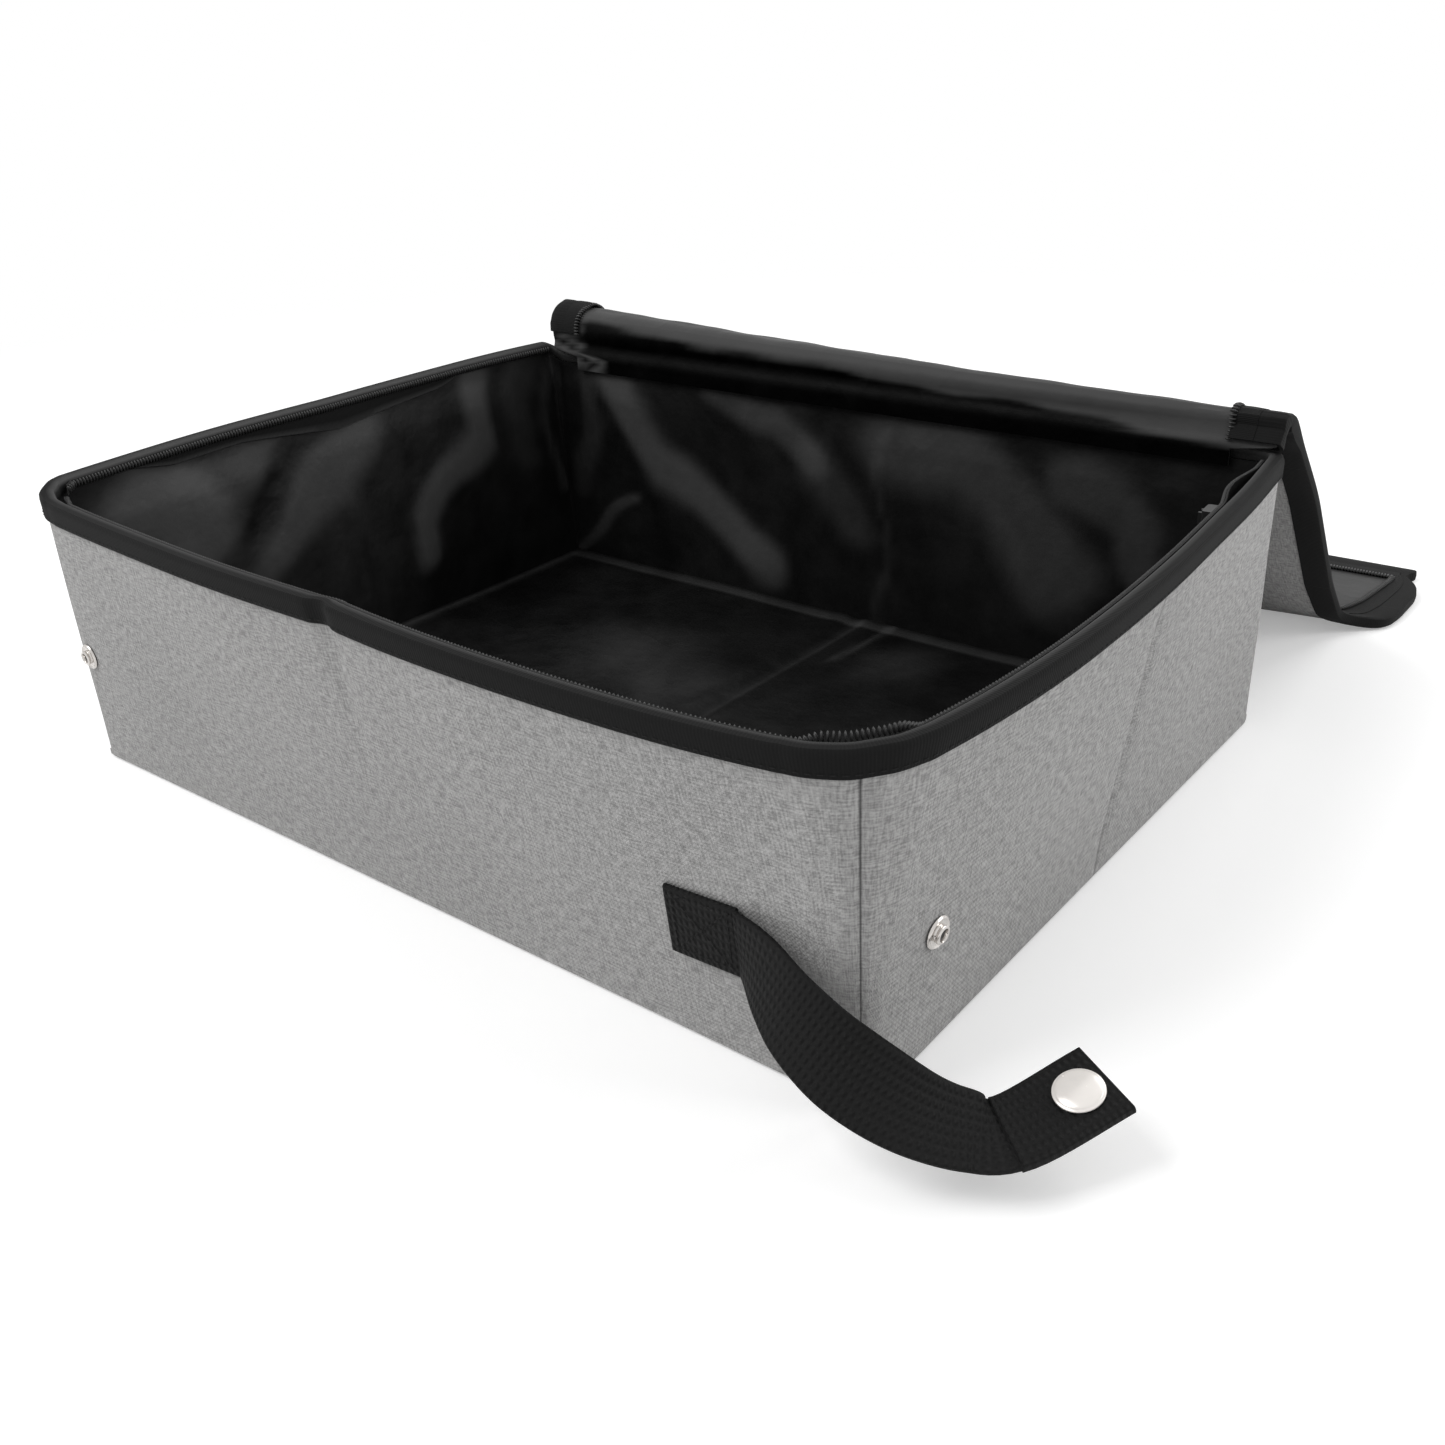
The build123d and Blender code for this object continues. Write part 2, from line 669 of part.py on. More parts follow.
def snap_rivet(plane, reach):
    """The rivet behind a stud: a flat head inside the lining and a post through to the stud."""
    with BuildPart() as rivet:
        with BuildSketch(plane.offset(-reach)):
            Circle(rivet_radius)
        extrude(amount=-rivet_thickness)
        with BuildSketch(plane.offset(-reach)):
            Circle(stud_post_radius - stud_post_clearance)
        extrude(amount=reach + stud_height / 3)
    return rivet.part


rivet_reach = wall_thickness + 2 * stud_seat_gap
studs = {
    "front_stud": stud_plane("front", front_stud_along, front_stud_height),
    "side_stud": stud_plane("right", side_stud_along, side_stud_height),
}
for name, plane in studs.items():
    save(snap_stud(plane), name)
    save(snap_rivet(plane, rivet_reach), f"{name}_rivet")

# The zip slider rides on the coil inside the right wall, along the chord of its travel, with its pull below
coil_knots = half_knots(1, side_halves["right_rear"][2], 0, side_end)
far_bow = bow_between(coil_knots, slider_place + slide_back) * rise(coil_top)
near_bow = bow_between(coil_knots, slider_place - slide_forward) * rise(coil_top)
slider_bow = bow_between(coil_knots, slider_place) * rise(coil_top)
slide_way = Vector(near_bow - far_bow, -slide_back - slide_forward).normalized()
outward = Vector(-slide_way.Y, slide_way.X)
coil_face = Vector(half_length + slider_bow + coil_depths[0], slider_place)
slider_z = coil_top - slider_drop - slider_height / 2
slider_middle = coil_face - outward * (slider_gap + slider_depth / 2) + Vector(0, 0, slider_z)
slider_plane = Plane(origin=slider_middle, x_dir=outward, z_dir=(0, 0, 1))
bridge_place = -slider_depth / 2 - slider_bridge_depth / 2
with BuildPart(slider_plane) as slider_body:
    Box(slider_depth, slider_length, slider_height)
    fillet(slider_body.edges().filter_by(Axis.Z), slider_rounding)
    with Locations((bridge_place + slider_rounding / 2, 0, 0)):
        Box(slider_bridge_depth + slider_rounding, slider_bridge_length, slider_bridge_height)
    with Locations((bridge_place, 0, 0)):
        Box(slider_bridge_depth, slider_bridge_length / 2, slider_bridge_height, mode=Mode.SUBTRACT)
save(slider_body.part, "slider_body")
print("slider", slider_middle, "way", slide_way)

pull_top = -slider_height / 2 - pull_gap
pull_plane = Plane(origin=slider_middle, x_dir=slide_way * -1, z_dir=outward)
with BuildPart() as pull_tab:
    with BuildSketch(pull_plane.offset(-pull_thickness / 2)):
        with Locations((0, pull_top - pull_length / 2)):
            RectangleRounded(pull_width, pull_length, pull_rounding)
        with Locations((0, pull_top - pull_hole_radius * 2)):
            Circle(pull_hole_radius, mode=Mode.SUBTRACT)
    extrude(amount=pull_thickness)
save(pull_tab.part, "pull_tab")
print("pull hinge", slider_middle + Vector(0, 0, pull_top))
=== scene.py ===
# %% [markdown]
# # A folding cloth litter tray
# The tray is grey melange cloth over stiff boards, lined with black coated cloth and bound in black
# along its rim. A zip runs inside the rim, the lid lies back behind the tray, and a webbing strap
# with a snap hangs free past the near corner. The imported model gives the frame: where each piece is
# and what it moves with. The looks are built round it here, piece by piece.

# %% Load the frame
import bpy
import math
import numpy as np
from mathutils import Matrix, Vector


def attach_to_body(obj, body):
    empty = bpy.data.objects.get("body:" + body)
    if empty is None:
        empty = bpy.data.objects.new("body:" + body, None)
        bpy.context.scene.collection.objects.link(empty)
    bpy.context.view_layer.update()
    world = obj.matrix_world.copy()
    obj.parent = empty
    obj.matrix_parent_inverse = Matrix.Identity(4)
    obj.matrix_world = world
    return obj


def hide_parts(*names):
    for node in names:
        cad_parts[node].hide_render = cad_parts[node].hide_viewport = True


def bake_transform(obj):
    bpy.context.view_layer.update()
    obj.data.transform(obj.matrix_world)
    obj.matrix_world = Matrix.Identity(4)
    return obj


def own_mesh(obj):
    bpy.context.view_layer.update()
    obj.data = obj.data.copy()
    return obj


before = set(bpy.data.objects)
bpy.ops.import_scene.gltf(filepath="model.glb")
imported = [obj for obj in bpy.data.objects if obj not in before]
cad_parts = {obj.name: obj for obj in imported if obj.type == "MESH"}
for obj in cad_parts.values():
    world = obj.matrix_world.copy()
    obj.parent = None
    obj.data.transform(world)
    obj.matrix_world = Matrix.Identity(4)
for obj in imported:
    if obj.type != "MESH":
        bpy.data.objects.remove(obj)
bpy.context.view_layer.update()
MM = 0.001


def add_object(name, data):
    """A new object in the scene, at the origin."""
    piece = bpy.data.objects.new(name, data)
    bpy.context.scene.collection.objects.link(piece)
    return piece


# %% [markdown]
# ## The camera
# The photograph looks down at the tray from the front right. Its place and its three axes come from
# the tray's own edges, whose directions are known, so the camera is a matrix and needs no aiming.

# %% Camera
CAMERA_PLACE = Vector((371.1, -417.1, 284.1)) * MM
CAMERA_RIGHT = Vector((0.7855, 0.6175, -0.0412))
CAMERA_UP = Vector((-0.2472, 0.3741, 0.8939))
FOCAL_PIXELS, FRAME_PIXELS, SENSOR = 1436.2, 1445.0, 36.0
lens = bpy.data.cameras.new("camera")
lens.sensor_width = SENSOR
lens.lens = SENSOR * FOCAL_PIXELS / FRAME_PIXELS
lens.clip_start, lens.clip_end = 0.01, 50.0
camera = add_object("camera", lens)
right = CAMERA_RIGHT.normalized()
back = right.cross(CAMERA_UP).normalized()
camera.matrix_world = Matrix((right, back.cross(right), back)).transposed().to_4x4()
camera.matrix_world.translation = CAMERA_PLACE
bpy.context.scene.camera = camera
print("lens", round(lens.lens, 2))

# %% [markdown]
# ## Shader maths in plain Python
# A material's pattern is a sum of waves, noises and masks. Wiring each Math node by hand hides the
# formula, so a small class wraps a socket and turns each operator into its node. Colours go through
# Mix nodes, because a Math node would turn them grey. The same helper wires the beads further on.

# %% Trees, sheets and their values
MIX_SOCKETS = (0, 6, 7)


class Value:
    """A socket that can be added, multiplied and compared like a number."""

    def __init__(self, sheet, socket):
        self.sheet, self.socket = sheet, socket

    def maths(self, operation, *others):
        return self.sheet.node("ShaderNodeMath", {"operation": operation}, [self, *others])

    def __add__(self, other):
        return self.maths("ADD", other)

    __radd__ = __add__

    def __mul__(self, other):
        return self.maths("MULTIPLY", other)

    __rmul__ = __mul__

    def __sub__(self, other):
        return self.maths("SUBTRACT", other)

    def __rsub__(self, other):
        return self * -1 + other

    def __pow__(self, other):
        return self.maths("POWER", other)

    def sin(self):
        return self.maths("SINE")

    def abs(self):
        return self.maths("ABSOLUTE")

    def wave(self, length):
        """A wave between 0 and 1, from its length."""
        return (self * (2 * math.pi / length)).sin() * 0.5 + 0.5

    def above(self, edge, soft):
        """0 below edge, 1 above it, with a soft step between."""
        values = {"Value": self, "From Min": edge - soft, "From Max": edge + soft}
        return self.sheet.node("ShaderNodeMapRange", {"interpolation_type": "SMOOTHSTEP"}, values)


class Tree:
    """Any tree of nodes, and the one helper that adds and wires a node."""

    def __init__(self, tree):
        self.tree = tree

    def node(self, kind, settings=None, values=(), output=0):
        """Adds a node: settings first, then its sockets' values or links; returns one output."""
        made = self.tree.nodes.new(kind)
        for key, setting in (settings or {}).items():
            setattr(made, key, setting)
        items = values.items() if isinstance(values, dict) else enumerate(values)
        for key, value in items:
            if isinstance(value, Value):
                self.tree.links.new(value.socket, made.inputs[key])
            else:
                made.inputs[key].default_value = value
        return Value(self, made.outputs[output]) if made.outputs else None


class Sheet(Tree):
    """The nodes of one material, or of the world, with helpers for its looks."""

    def __init__(self, owner, shader, **finish):
        owner.use_nodes = True
        super().__init__(owner.node_tree)
        self.owner, self.shader = owner, self.tree.nodes[shader]
        for socket, value in finish.items():
            self.shader.inputs[socket.replace("_", " ")].default_value = value

    def object_place(self):
        return self.node("ShaderNodeTexCoord", output="Object")

    def kept(self, name, output="Fac"):
        """What each point keeps: its shade, or as a vector its place on the cloth, in metres."""
        return self.node("ShaderNodeAttribute", {"attribute_name": name}, output=output)

    def parts(self, vector):
        split = self.node("ShaderNodeSeparateXYZ", values={"Vector": vector})
        return [Value(self, socket) for socket in split.socket.node.outputs]

    def noise(self, vector, scale, detail=3.0, roughness=0.5, stretch=None):
        if stretch:
            vector = self.node("ShaderNodeMapping", values={"Vector": vector, "Scale": stretch})
        values = {"Vector": vector, "Scale": scale, "Detail": detail, "Roughness": roughness}
        return self.node("ShaderNodeTexNoise", values=values)

    def mix(self, amount, first, second):
        """A colour between two colours."""
        ends = [end if isinstance(end, Value) else (*end, 1.0) for end in (first, second)]
        values = dict(zip(MIX_SOCKETS, (amount, *ends)))
        return self.node("ShaderNodeMix", {"data_type": "RGBA"}, values, output=2)

    def bump(self, height, distance, strength):
        values = {"Height": height, "Distance": distance, "Strength": strength}
        return self.node("ShaderNodeBump", values=values)

    def feed(self, **links):
        for socket, value in links.items():
            self.tree.links.new(value.socket, self.shader.inputs[socket.replace("_", " ")])
        return self.owner

    def seen(self):
        """1 for a ray from the camera and for one through gloss or glass, 0 for a ray of light."""
        ways = ("Is Camera Ray", "Is Glossy Ray", "Is Transmission Ray")
        camera, gloss, glass = (self.node("ShaderNodeLightPath", output=way) for way in ways)
        return camera.maths("MAXIMUM", gloss).maths("MAXIMUM", glass)

    def end_in_mix(self, amount, other, output):
        """Ends the nodes in a mix of their own shader and another."""
        own = Value(self, self.shader.outputs[0])
        mixed = self.node("ShaderNodeMixShader", values=[amount, own, other])
        self.tree.links.new(mixed.socket, self.tree.nodes[output].inputs["Surface"])


def new_material(name, **finish):
    return Sheet(bpy.data.materials.new(name), "Principled BSDF", **finish)


def tone(value, warmth=0.0):
    """A near-grey as it should look, 0 to 255, turned into the linear colour a shader takes."""
    shades = [value * (1 + warmth), value, value * (1 - warmth)]
    return tuple((min(shade, 255) / 255) ** 2.2 for shade in shades)


print("grey 160 is", [round(part, 3) for part in tone(160)])

# %% [markdown]
# ## The finishes
# The outer cloth is an Oxford weave of pale and dark yarns, so it needs thread crossings under
# a millimetre wide, and a mottle where yarns of one shade run together. The lining is cloth with
# a shiny black coating; its gloss is real, and the light its soft wrinkles catch is painted into
# its colour. Binding and tape are ribbed, with painted highlights on their lit edges, and webbing
# has raised rows of dashes. Woven patterns are worked out on the cloth's own coordinates.

# %% Melange Oxford cloth
THREAD = 0.0007
YARN_NOISE, SPECKLE_NOISE, CLOUD_NOISE = 1500.0, 2200.0, 14.0
YARN_STRETCHES = ((1.0, 0.16, 1.0), (0.16, 1.0, 1.0))
# The colour of the painted shade in the near corner's seam and along the side walls' folds.
GROOVE_SHADE_TONE = 62


def melange(name, light, dark):
    """A plain weave, each thread over one and under the next, of light and dark yarns."""
    sheet = new_material(name, Roughness=0.92, Specular_IOR_Level=0.1)
    place = sheet.kept("cloth", "Vector")
    along, across, _ = sheet.parts(place)
    weave = (along * (math.pi / THREAD)).sin() * (across * (math.pi / THREAD)).sin() * 0.5 + 0.5
    warp, weft = (sheet.noise(place, YARN_NOISE, 1.0, 0.5, stretch) for stretch in YARN_STRETCHES)
    speckle = sheet.noise(place, SPECKLE_NOISE, 2.0, 0.7)
    cloud = sheet.noise(place, CLOUD_NOISE, 2.0)
    yarn = (warp + weft) * 0.5
    shade = (yarn - 0.5) * 2.7 + (speckle - 0.5) * 0.7 + (cloud - 0.5) * 0.25 + 0.5
    cloth = sheet.mix(shade.above(0.5, 0.6), dark, light)
    # Painted shade: where a point's shade is below 1, the cloth darkens toward the groove shade tone.
    colour = sheet.mix(sheet.kept("shade"), tone(GROOVE_SHADE_TONE), cloth)
    return sheet.feed(Base_Color=colour, Normal=sheet.bump(weave + yarn * 0.5, 0.0002, 0.6))


outer_cloth = melange("outer_cloth", tone(184, 0.004), tone(134, 0.004))
print("made", outer_cloth.name)

# %% Black coated lining
WIDE_NOISE, SMALL_NOISE, GRAIN_NOISE = 14.0, 60.0, 2400.0


def coated_lining(name, dark, light, gloss):
    """Coated cloth with painted light: each point's shade says how far its soft folds catch the light.
    """
    sheet = new_material(name, Specular_IOR_Level=gloss)
    place = sheet.object_place()
    wide = sheet.noise(place, WIDE_NOISE, 3.0, 0.55, (1.0, 1.0, 0.6))
    small = sheet.noise(place, SMALL_NOISE, 3.0, 0.6)
    grain = sheet.noise(place, GRAIN_NOISE, 1.0)
    amount = sheet.kept("shade") + (wide - 0.5) * 0.35 + (small - 0.5) * 0.2
    colour = sheet.mix(amount.above(0.5, 0.5), tone(dark), tone(light))
    relief = (wide - 0.5).abs() * -1.0 + small * 0.16 + grain * 0.012
    rough = (small - 0.5) * 0.2 + 0.44
    return sheet.feed(Base_Color=colour, Roughness=rough, Normal=sheet.bump(relief, 0.012, 0.35))


# The dark colour is the black lining, darker still on the lid as painted shade under the roll; the
# light colour is painted light.
lining_cloth = coated_lining("lining_cloth", 14, 76, 0.15)
lid_lining_cloth = coated_lining("lid_lining_cloth", 4, 78, 0.04)
print("made", lining_cloth.name, lid_lining_cloth.name)

# %% Ribbed binding, zip tape and webbing
FUZZ_NOISE, WEAR_NOISE = 1800.0, 40.0
PAINTED_EDGE_HIGHLIGHT = 84


def ribbed(name, shade, rib, depth, rough, dashes=None):
    """Black tape, ribbed along its length, with a painted highlight where its shade is above 1; with
    dashes, each rib also breaks across the tape.
    """
    sheet = new_material(name, Roughness=rough, Specular_IOR_Level=0.09)
    place = sheet.kept("cloth", "Vector")
    along, across, _ = sheet.parts(place)
    ribs = along.wave(rib) * across.wave(dashes) if dashes else along.wave(rib)
    fuzz = sheet.noise(place, FUZZ_NOISE, 2.0, 0.7)
    wear = sheet.noise(place, WEAR_NOISE, 3.0)
    tape = sheet.mix(ribs * 0.3 + fuzz * 0.7, tone(shade * 0.86), tone(shade * 1.12))
    colour = sheet.mix(sheet.kept("shade") - 1, tape, tone(PAINTED_EDGE_HIGHLIGHT))
    return sheet.feed(Base_Color=colour, Normal=sheet.bump(ribs + fuzz * 0.3 + wear * 0.6, depth, 0.8))


binding_tape = ribbed("binding_tape", 31, 0.0011, 0.00008, 0.75)
zip_tape = ribbed("zip_tape", 30, 0.0007, 0.00012, 0.7)
webbing = ribbed("webbing", 33, 0.0021, 0.0009, 0.6, 0.0031)
print("made", binding_tape.name, zip_tape.name, webbing.name)

# %% [markdown]
# Nylon teeth are glossy black plastic, thread is matte black, and the snap parts are polished
# nickel. Metal is never quite even, so a slow noise moves its roughness a little.

# %% Teeth, thread, metal and board


def plain(name, shade, rough, metal=0.0, spread=0.12, warmth=0.0, scale=700.0):
    sheet = new_material(name, Metallic=metal, Specular_IOR_Level=0.25)
    cloud = sheet.noise(sheet.object_place(), scale, 2.0)
    dark, light = (tone(min(shade * (1 + side * spread), 255), warmth) for side in (-1, 1))
    return sheet.feed(Base_Color=sheet.mix(cloud, dark, light), Roughness=(cloud - 0.5) * 0.12 + rough)


nylon_teeth = plain("nylon_teeth", 62, 0.32)
black_thread = plain("black_thread", 28, 0.8)
nickel = plain("nickel", 196, 0.22, 1.0, 0.05, 0.02)
# Nickel, less metallic and near white: its colour is a painted reflection of the white surroundings.
nickel_with_painted_reflection = plain("nickel_with_painted_reflection", 236, 0.25, 0.25, 0.02, 0.02, 300.0)
black_lacquer_and_hole_shade = plain("black_lacquer_and_hole_shade", 48, 0.3, 0.3)
stiff_board = plain("stiff_board", 150, 0.6)
print("made", nickel.name, nylon_teeth.name)

# %% [markdown]
# ## Where the walls run
# Every layer of the walls follows the same surface: a rectangle with tight corners at the floor,
# which opens into bowed sides and softer corners at the rim. The eight stretches of that outline go
# round from the front wall: side, corner, side, corner. A place on a wall is then a stretch, a share
# along it, a height, and a depth behind the outer cloth's face.

# %% The tray's outline
HALF_LENGTH, HALF_WIDTH, RIM = 198.0, 151.0, 118.0
WALL_FOOT = 4.1
SIDE_END = 146.4
FOOT_CUT = 6.0
RIM_CUTS = (24.0, 11.0, 9.0, 13.0)
FLAT = (0.0, 0.0, 0.0)
# Each side: its way along, its way out, half its length, how far out it lies, the bows of its two
# halves (at the middle, halfway and at the end) and the distance over which they run.
SIDES = (
    ((1, 0), (0, -1), HALF_LENGTH, HALF_WIDTH, (12.5, 11.0, 2.0), (12.5, 15.5, 2.0), HALF_LENGTH),
    ((0, 1), (1, 0), HALF_WIDTH, HALF_LENGTH, (15.0, 14.5, 3.0), (15.0, 9.0, 1.0), SIDE_END),
    ((-1, 0), (0, 1), HALF_LENGTH, HALF_WIDTH, FLAT, FLAT, HALF_LENGTH),
    ((0, -1), (-1, 0), HALF_WIDTH, HALF_LENGTH, (15.0, 13.5, 5.0), (15.0, 14.0, 5.0), SIDE_END),
)
FRONT = 0


def side_point(side, along, share):
    """A plan point of a side's face, by the distance from its middle and the share of its bow."""
    way, out, _, reach, before, past, length = SIDES[side]
    crease, middle, end = past if along > 0 else before
    t = abs(along) / length
    bow = crease + (4 * middle - 3 * crease - end) * t + 2 * (crease - 2 * middle + end) * t**2
    return np.array(out) * (reach + bow * share) + np.array(way) * along


def cut_of(corner, share):
    """How far before a side's end its corner starts."""
    return FOOT_CUT + (RIM_CUTS[corner] - FOOT_CUT) * share


def cross(a, b):
    return a[0] * b[1] - a[1] * b[0]


def unit(way):
    """A direction, at a length of one."""
    return way / np.linalg.norm(way)


def arc(a, middle, b, t):
    """A point of the curve that goes from a to b and leans to the middle point."""
    return a * (1 - t) ** 2 + middle * 2 * t * (1 - t) + b * t**2


def plan_point(stretch, t, share):
    """A point of the outline: even stretches are sides, odd ones the corners after them."""
    side = (stretch // 2) % 4
    after = (side + 1) % 4
    half, cut = SIDES[side][2], cut_of(side, share)
    if stretch % 2 == 0:
        start, end = -half + cut_of(side - 1, share), half - cut
        return side_point(side, start + (end - start) * t, share)
    a, before_a = (side_point(side, half - cut - step, share) for step in (0, 1))
    b, after_b = (side_point(after, -SIDES[after][2] + cut + step, share) for step in (0, 1))
    a_way, b_way = a - before_a, after_b - b
    return arc(a, a + a_way * (cross(b - a, b_way) / cross(a_way, b_way)), b, t)


def face_way(stretch, t, share, step=0.004):
    """The outward direction of the wall there, in plan."""
    low, high = (plan_point(stretch, end, share) for end in (max(t - step, 0.0), min(t + step, 1.0)))
    way = unit(high - low)
    return np.array((way[1], -way[0]))


print("near corner at the rim", plan_point(1, 0.5, 1.0))

# %% [markdown]
# Cloth over a board is never dead flat. A low, wide ripple is added to every layer alike, so that
# layers stay apart, and the rim of the left wall rides a little high.

# %% A place on a wall
LEFT_LIFT, REAR_LIFT, NEAR_DROP = 3.9, 5.4, -2.6
SEAM = 0.5
CREASE_DENT, SEAM_DENT, FRONT_DENT = 1.5, 0.6, 1.8
FRONT_FOLD = 0.515
BINDING_FOOT = 108


def clamp(value, low=0.0, high=1.0):
    return min(high, max(low, value))


def eased(share):
    """0 before 0, 1 past 1 and a smooth step between."""
    share = clamp(share)
    return share * share * (3 - 2 * share)


def fold_bump(value, width):
    """A smooth ridge, 1 at the middle and 0 past its width."""
    share = min(abs(value) / width, 1.0)
    return (1 - share * share) ** 2


def rim_lift(stretch, t):
    """How much higher than the frame's the rim rides, in mm."""
    lifts = {
        0: NEAR_DROP * eased((t - 0.6) / 0.4),
        1: NEAR_DROP,
        2: NEAR_DROP * eased(1 - t / 0.35),
        5: REAR_LIFT * eased(t),
        6: LEFT_LIFT + (REAR_LIFT - LEFT_LIFT) * eased(1 - 2 * t),
        7: LEFT_LIFT * eased(1 - t),
    }
    return lifts.get(stretch, 0.0)


def ripple(stretch, t, z):
    phase = stretch * 1.7 + t * 9.0
    waves = 0.22 * math.sin(phase + z * 0.03) + 0.14 * math.sin(2.3 * phase - z * 0.055 + 1.0)
    return clamp((z - 8) / 40) * waves


def dent(stretch, t, z):
    """How far the cloth sinks at the near corner's seam and along the walls' folds."""
    if stretch == 1 and z < BINDING_FOOT - 1:
        return SEAM_DENT * fold_bump(t - SEAM, 0.08)
    if stretch in (2, 6):
        fade = min(1.0, z / 20) * eased((BINDING_FOOT - z) / 16)
        return CREASE_DENT * fold_bump((t - 0.5) * 300, 5) * fade
    if stretch == 0:
        return FRONT_DENT * fold_bump((t - FRONT_FOLD) * 360 + 3, 7) * eased((z - 40) / 70)
    return 0.0


def wall_place(stretch, t, depth, z):
    """The point, in mm, at a depth behind (negative) or outside (positive) the wall's face."""
    share = clamp((z - WALL_FOOT) / (RIM - WALL_FOOT), -0.04, 1.02)
    out = depth + ripple(stretch, t, z) - dent(stretch, t, z) * (1.0 if depth > -2 else 0.25)
    x, y = plan_point(stretch, t, share) + face_way(stretch, t, share) * out
    return (x, y, z + rim_lift(stretch, t) * max(0.0, (z - 50) / 68))


print("wall points", wall_place(0, 0.5, 0, RIM), wall_place(2, 0.5, 0, RIM))

# %% Stations along the wall
CREASE_PLACES = (0.485, 0.494, 0.5, 0.506, 0.515)
EXTRA_PLACES = {0: (0.492, 0.5, 0.5067, 0.514, 0.522), 1: (0.46, 0.48, SEAM, 0.52, 0.54)}
EXTRA_PLACES |= {2: CREASE_PLACES, 6: CREASE_PLACES}
CORNER_SPACING, SAME_PLACE = 1.6, 0.05
STRETCH_LENGTHS = (360, 30, 265, 20, 370, 12, 275, 16)


def rim_distance(place, other):
    return float(np.linalg.norm(plan_point(*place, 1.0) - plan_point(*other, 1.0)))


def stations(pieces, spacing=7.0):
    """Places along (stretch, start, end) pieces in turn, a few mm apart and closer in corners."""
    found = []
    for stretch, start, end in pieces:
        length = rim_distance((stretch, start), (stretch, end))
        count = max(2, math.ceil(length / (CORNER_SPACING if stretch % 2 else spacing)))
        marks = {start + (end - start) * i / count for i in range(count + 1)}
        marks |= {t for t in EXTRA_PLACES.get(stretch, ()) if start < t < end}
        for place in ((stretch, t) for t in sorted(marks)):
            if not found or rim_distance(place, found[-1]) > SAME_PLACE:
                found.append(place)
    return found


def perimeter_at(place):
    """A rough distance round the rim, so that a pattern runs on from one span to the next."""
    stretch, t = place
    return sum(STRETCH_LENGTHS[:stretch]) + STRETCH_LENGTHS[stretch] * t


print("stations round the near corner", len(stations([(1, 0, 1)])))

# %% [markdown]
# ## Which body a stretch moves with
# The walls fold at the corners and at the middles of the sides. A layer is cut into eight pieces:
# where it lies on one body for certain, a piece rides that body, and a piece that crosses a fold
# only has its transform baked. The front left corner is where the ring of walls opens, so no piece
# crosses it.

# %% Spans of the ring
CREASE = 12.0
SPANS = {
    "front": ([(7, 0.5, 1), (0, 0, 0.82)], "front_wall"),
    "near_corner": (
        [(0, 0.82, 1), (1, 0, 1), (2, 0, 0.2)],
        ("front_wall", "right_front_side", (180, -157, 59), (207, -130, 59)),
    ),
    "right_middle": (
        [(2, 0.2, 0.8)],
        ("right_front_side", "right_rear_side", (212, -CREASE, 59), (212, CREASE, 59)),
    ),
    "rear_right": (
        [(2, 0.8, 1), (3, 0, 1), (4, 0, 0.2)],
        ("right_rear_side", "rear_wall", (203, 130, 59), (180, 153, 59)),
    ),
    "rear": ([(4, 0.2, 0.8)], "rear_wall"),
    "rear_left": (
        [(4, 0.8, 1), (5, 0, 1), (6, 0, 0.2)],
        ("rear_wall", "left_rear_side", (-180, 153, 59), (-203, 130, 59)),
    ),
    "left_middle": (
        [(6, 0.2, 0.8)],
        ("left_rear_side", "left_front_side", (-212, CREASE, 59), (-212, -CREASE, 59)),
    ),
    "left": ([(6, 0.8, 1), (7, 0, 0.5)], "left_front_side"),
}
BOARDS = ("front_left", "front_right", "right_front", "right_rear")
BOARDS += ("rear_right", "rear_left", "left_rear", "left_front")
STANDS_FOR = {"front": ["front"], "near_corner": ["right_front"], "right_middle": ["right_rear"]}
STANDS_FOR |= {"rear": ["rear"], "left_middle": ["left_rear"], "left": ["left_front"]}


def attach(piece, rides, slot, *nodes):
    """Attaches a piece to the body it moves with, or only bakes its transform where it lies across a
    joint; its slot is not used, and it hides the frame's pieces it replaces.
    """
    if isinstance(rides, str):
        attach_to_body(piece, rides)
    else:
        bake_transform(piece)
    if nodes:
        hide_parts(*nodes)


print("spans", list(SPANS))

# %% [markdown]
# ## Sweeping a layer
# Each layer is a closed ring of points carried along the wall, with capped ends. The cover, the
# lining, the binding and the tape differ only in their ring, and in a warp that moves and shades its
# points from place to place.

# %% Meshes from rings of points
SHARP = 38.0


def keep(mesh, name, kind, field, values):
    """Keeps a value on each point of a mesh."""
    layer = mesh.attributes.new(name, kind, "POINT")
    layer.data.foreach_set(field, np.asarray(values, np.float32).ravel())


def make_mesh(name, points, faces, materials, cloth=None, shades=None, slots=None):
    """An object from points in mm; cloth holds each point's own coordinates on the cloth, in mm."""
    mesh = bpy.data.meshes.new(name)
    mesh.from_pydata([tuple(np.asarray(p, float) * MM) for p in points], [], faces)
    for material in materials:
        mesh.materials.append(material)
    if cloth is not None:
        keep(mesh, "cloth", "FLOAT_VECTOR", "vector", [(u * MM, v * MM, 0.0) for u, v in cloth])
    keep(mesh, "shade", "FLOAT", "value", np.ones(len(points)) if shades is None else shades)
    if slots is not None:
        mesh.polygons.foreach_set("material_index", slots)
    mesh.polygons.foreach_set("use_smooth", [True] * len(mesh.polygons))
    mesh.update()
    return add_object(name, mesh)


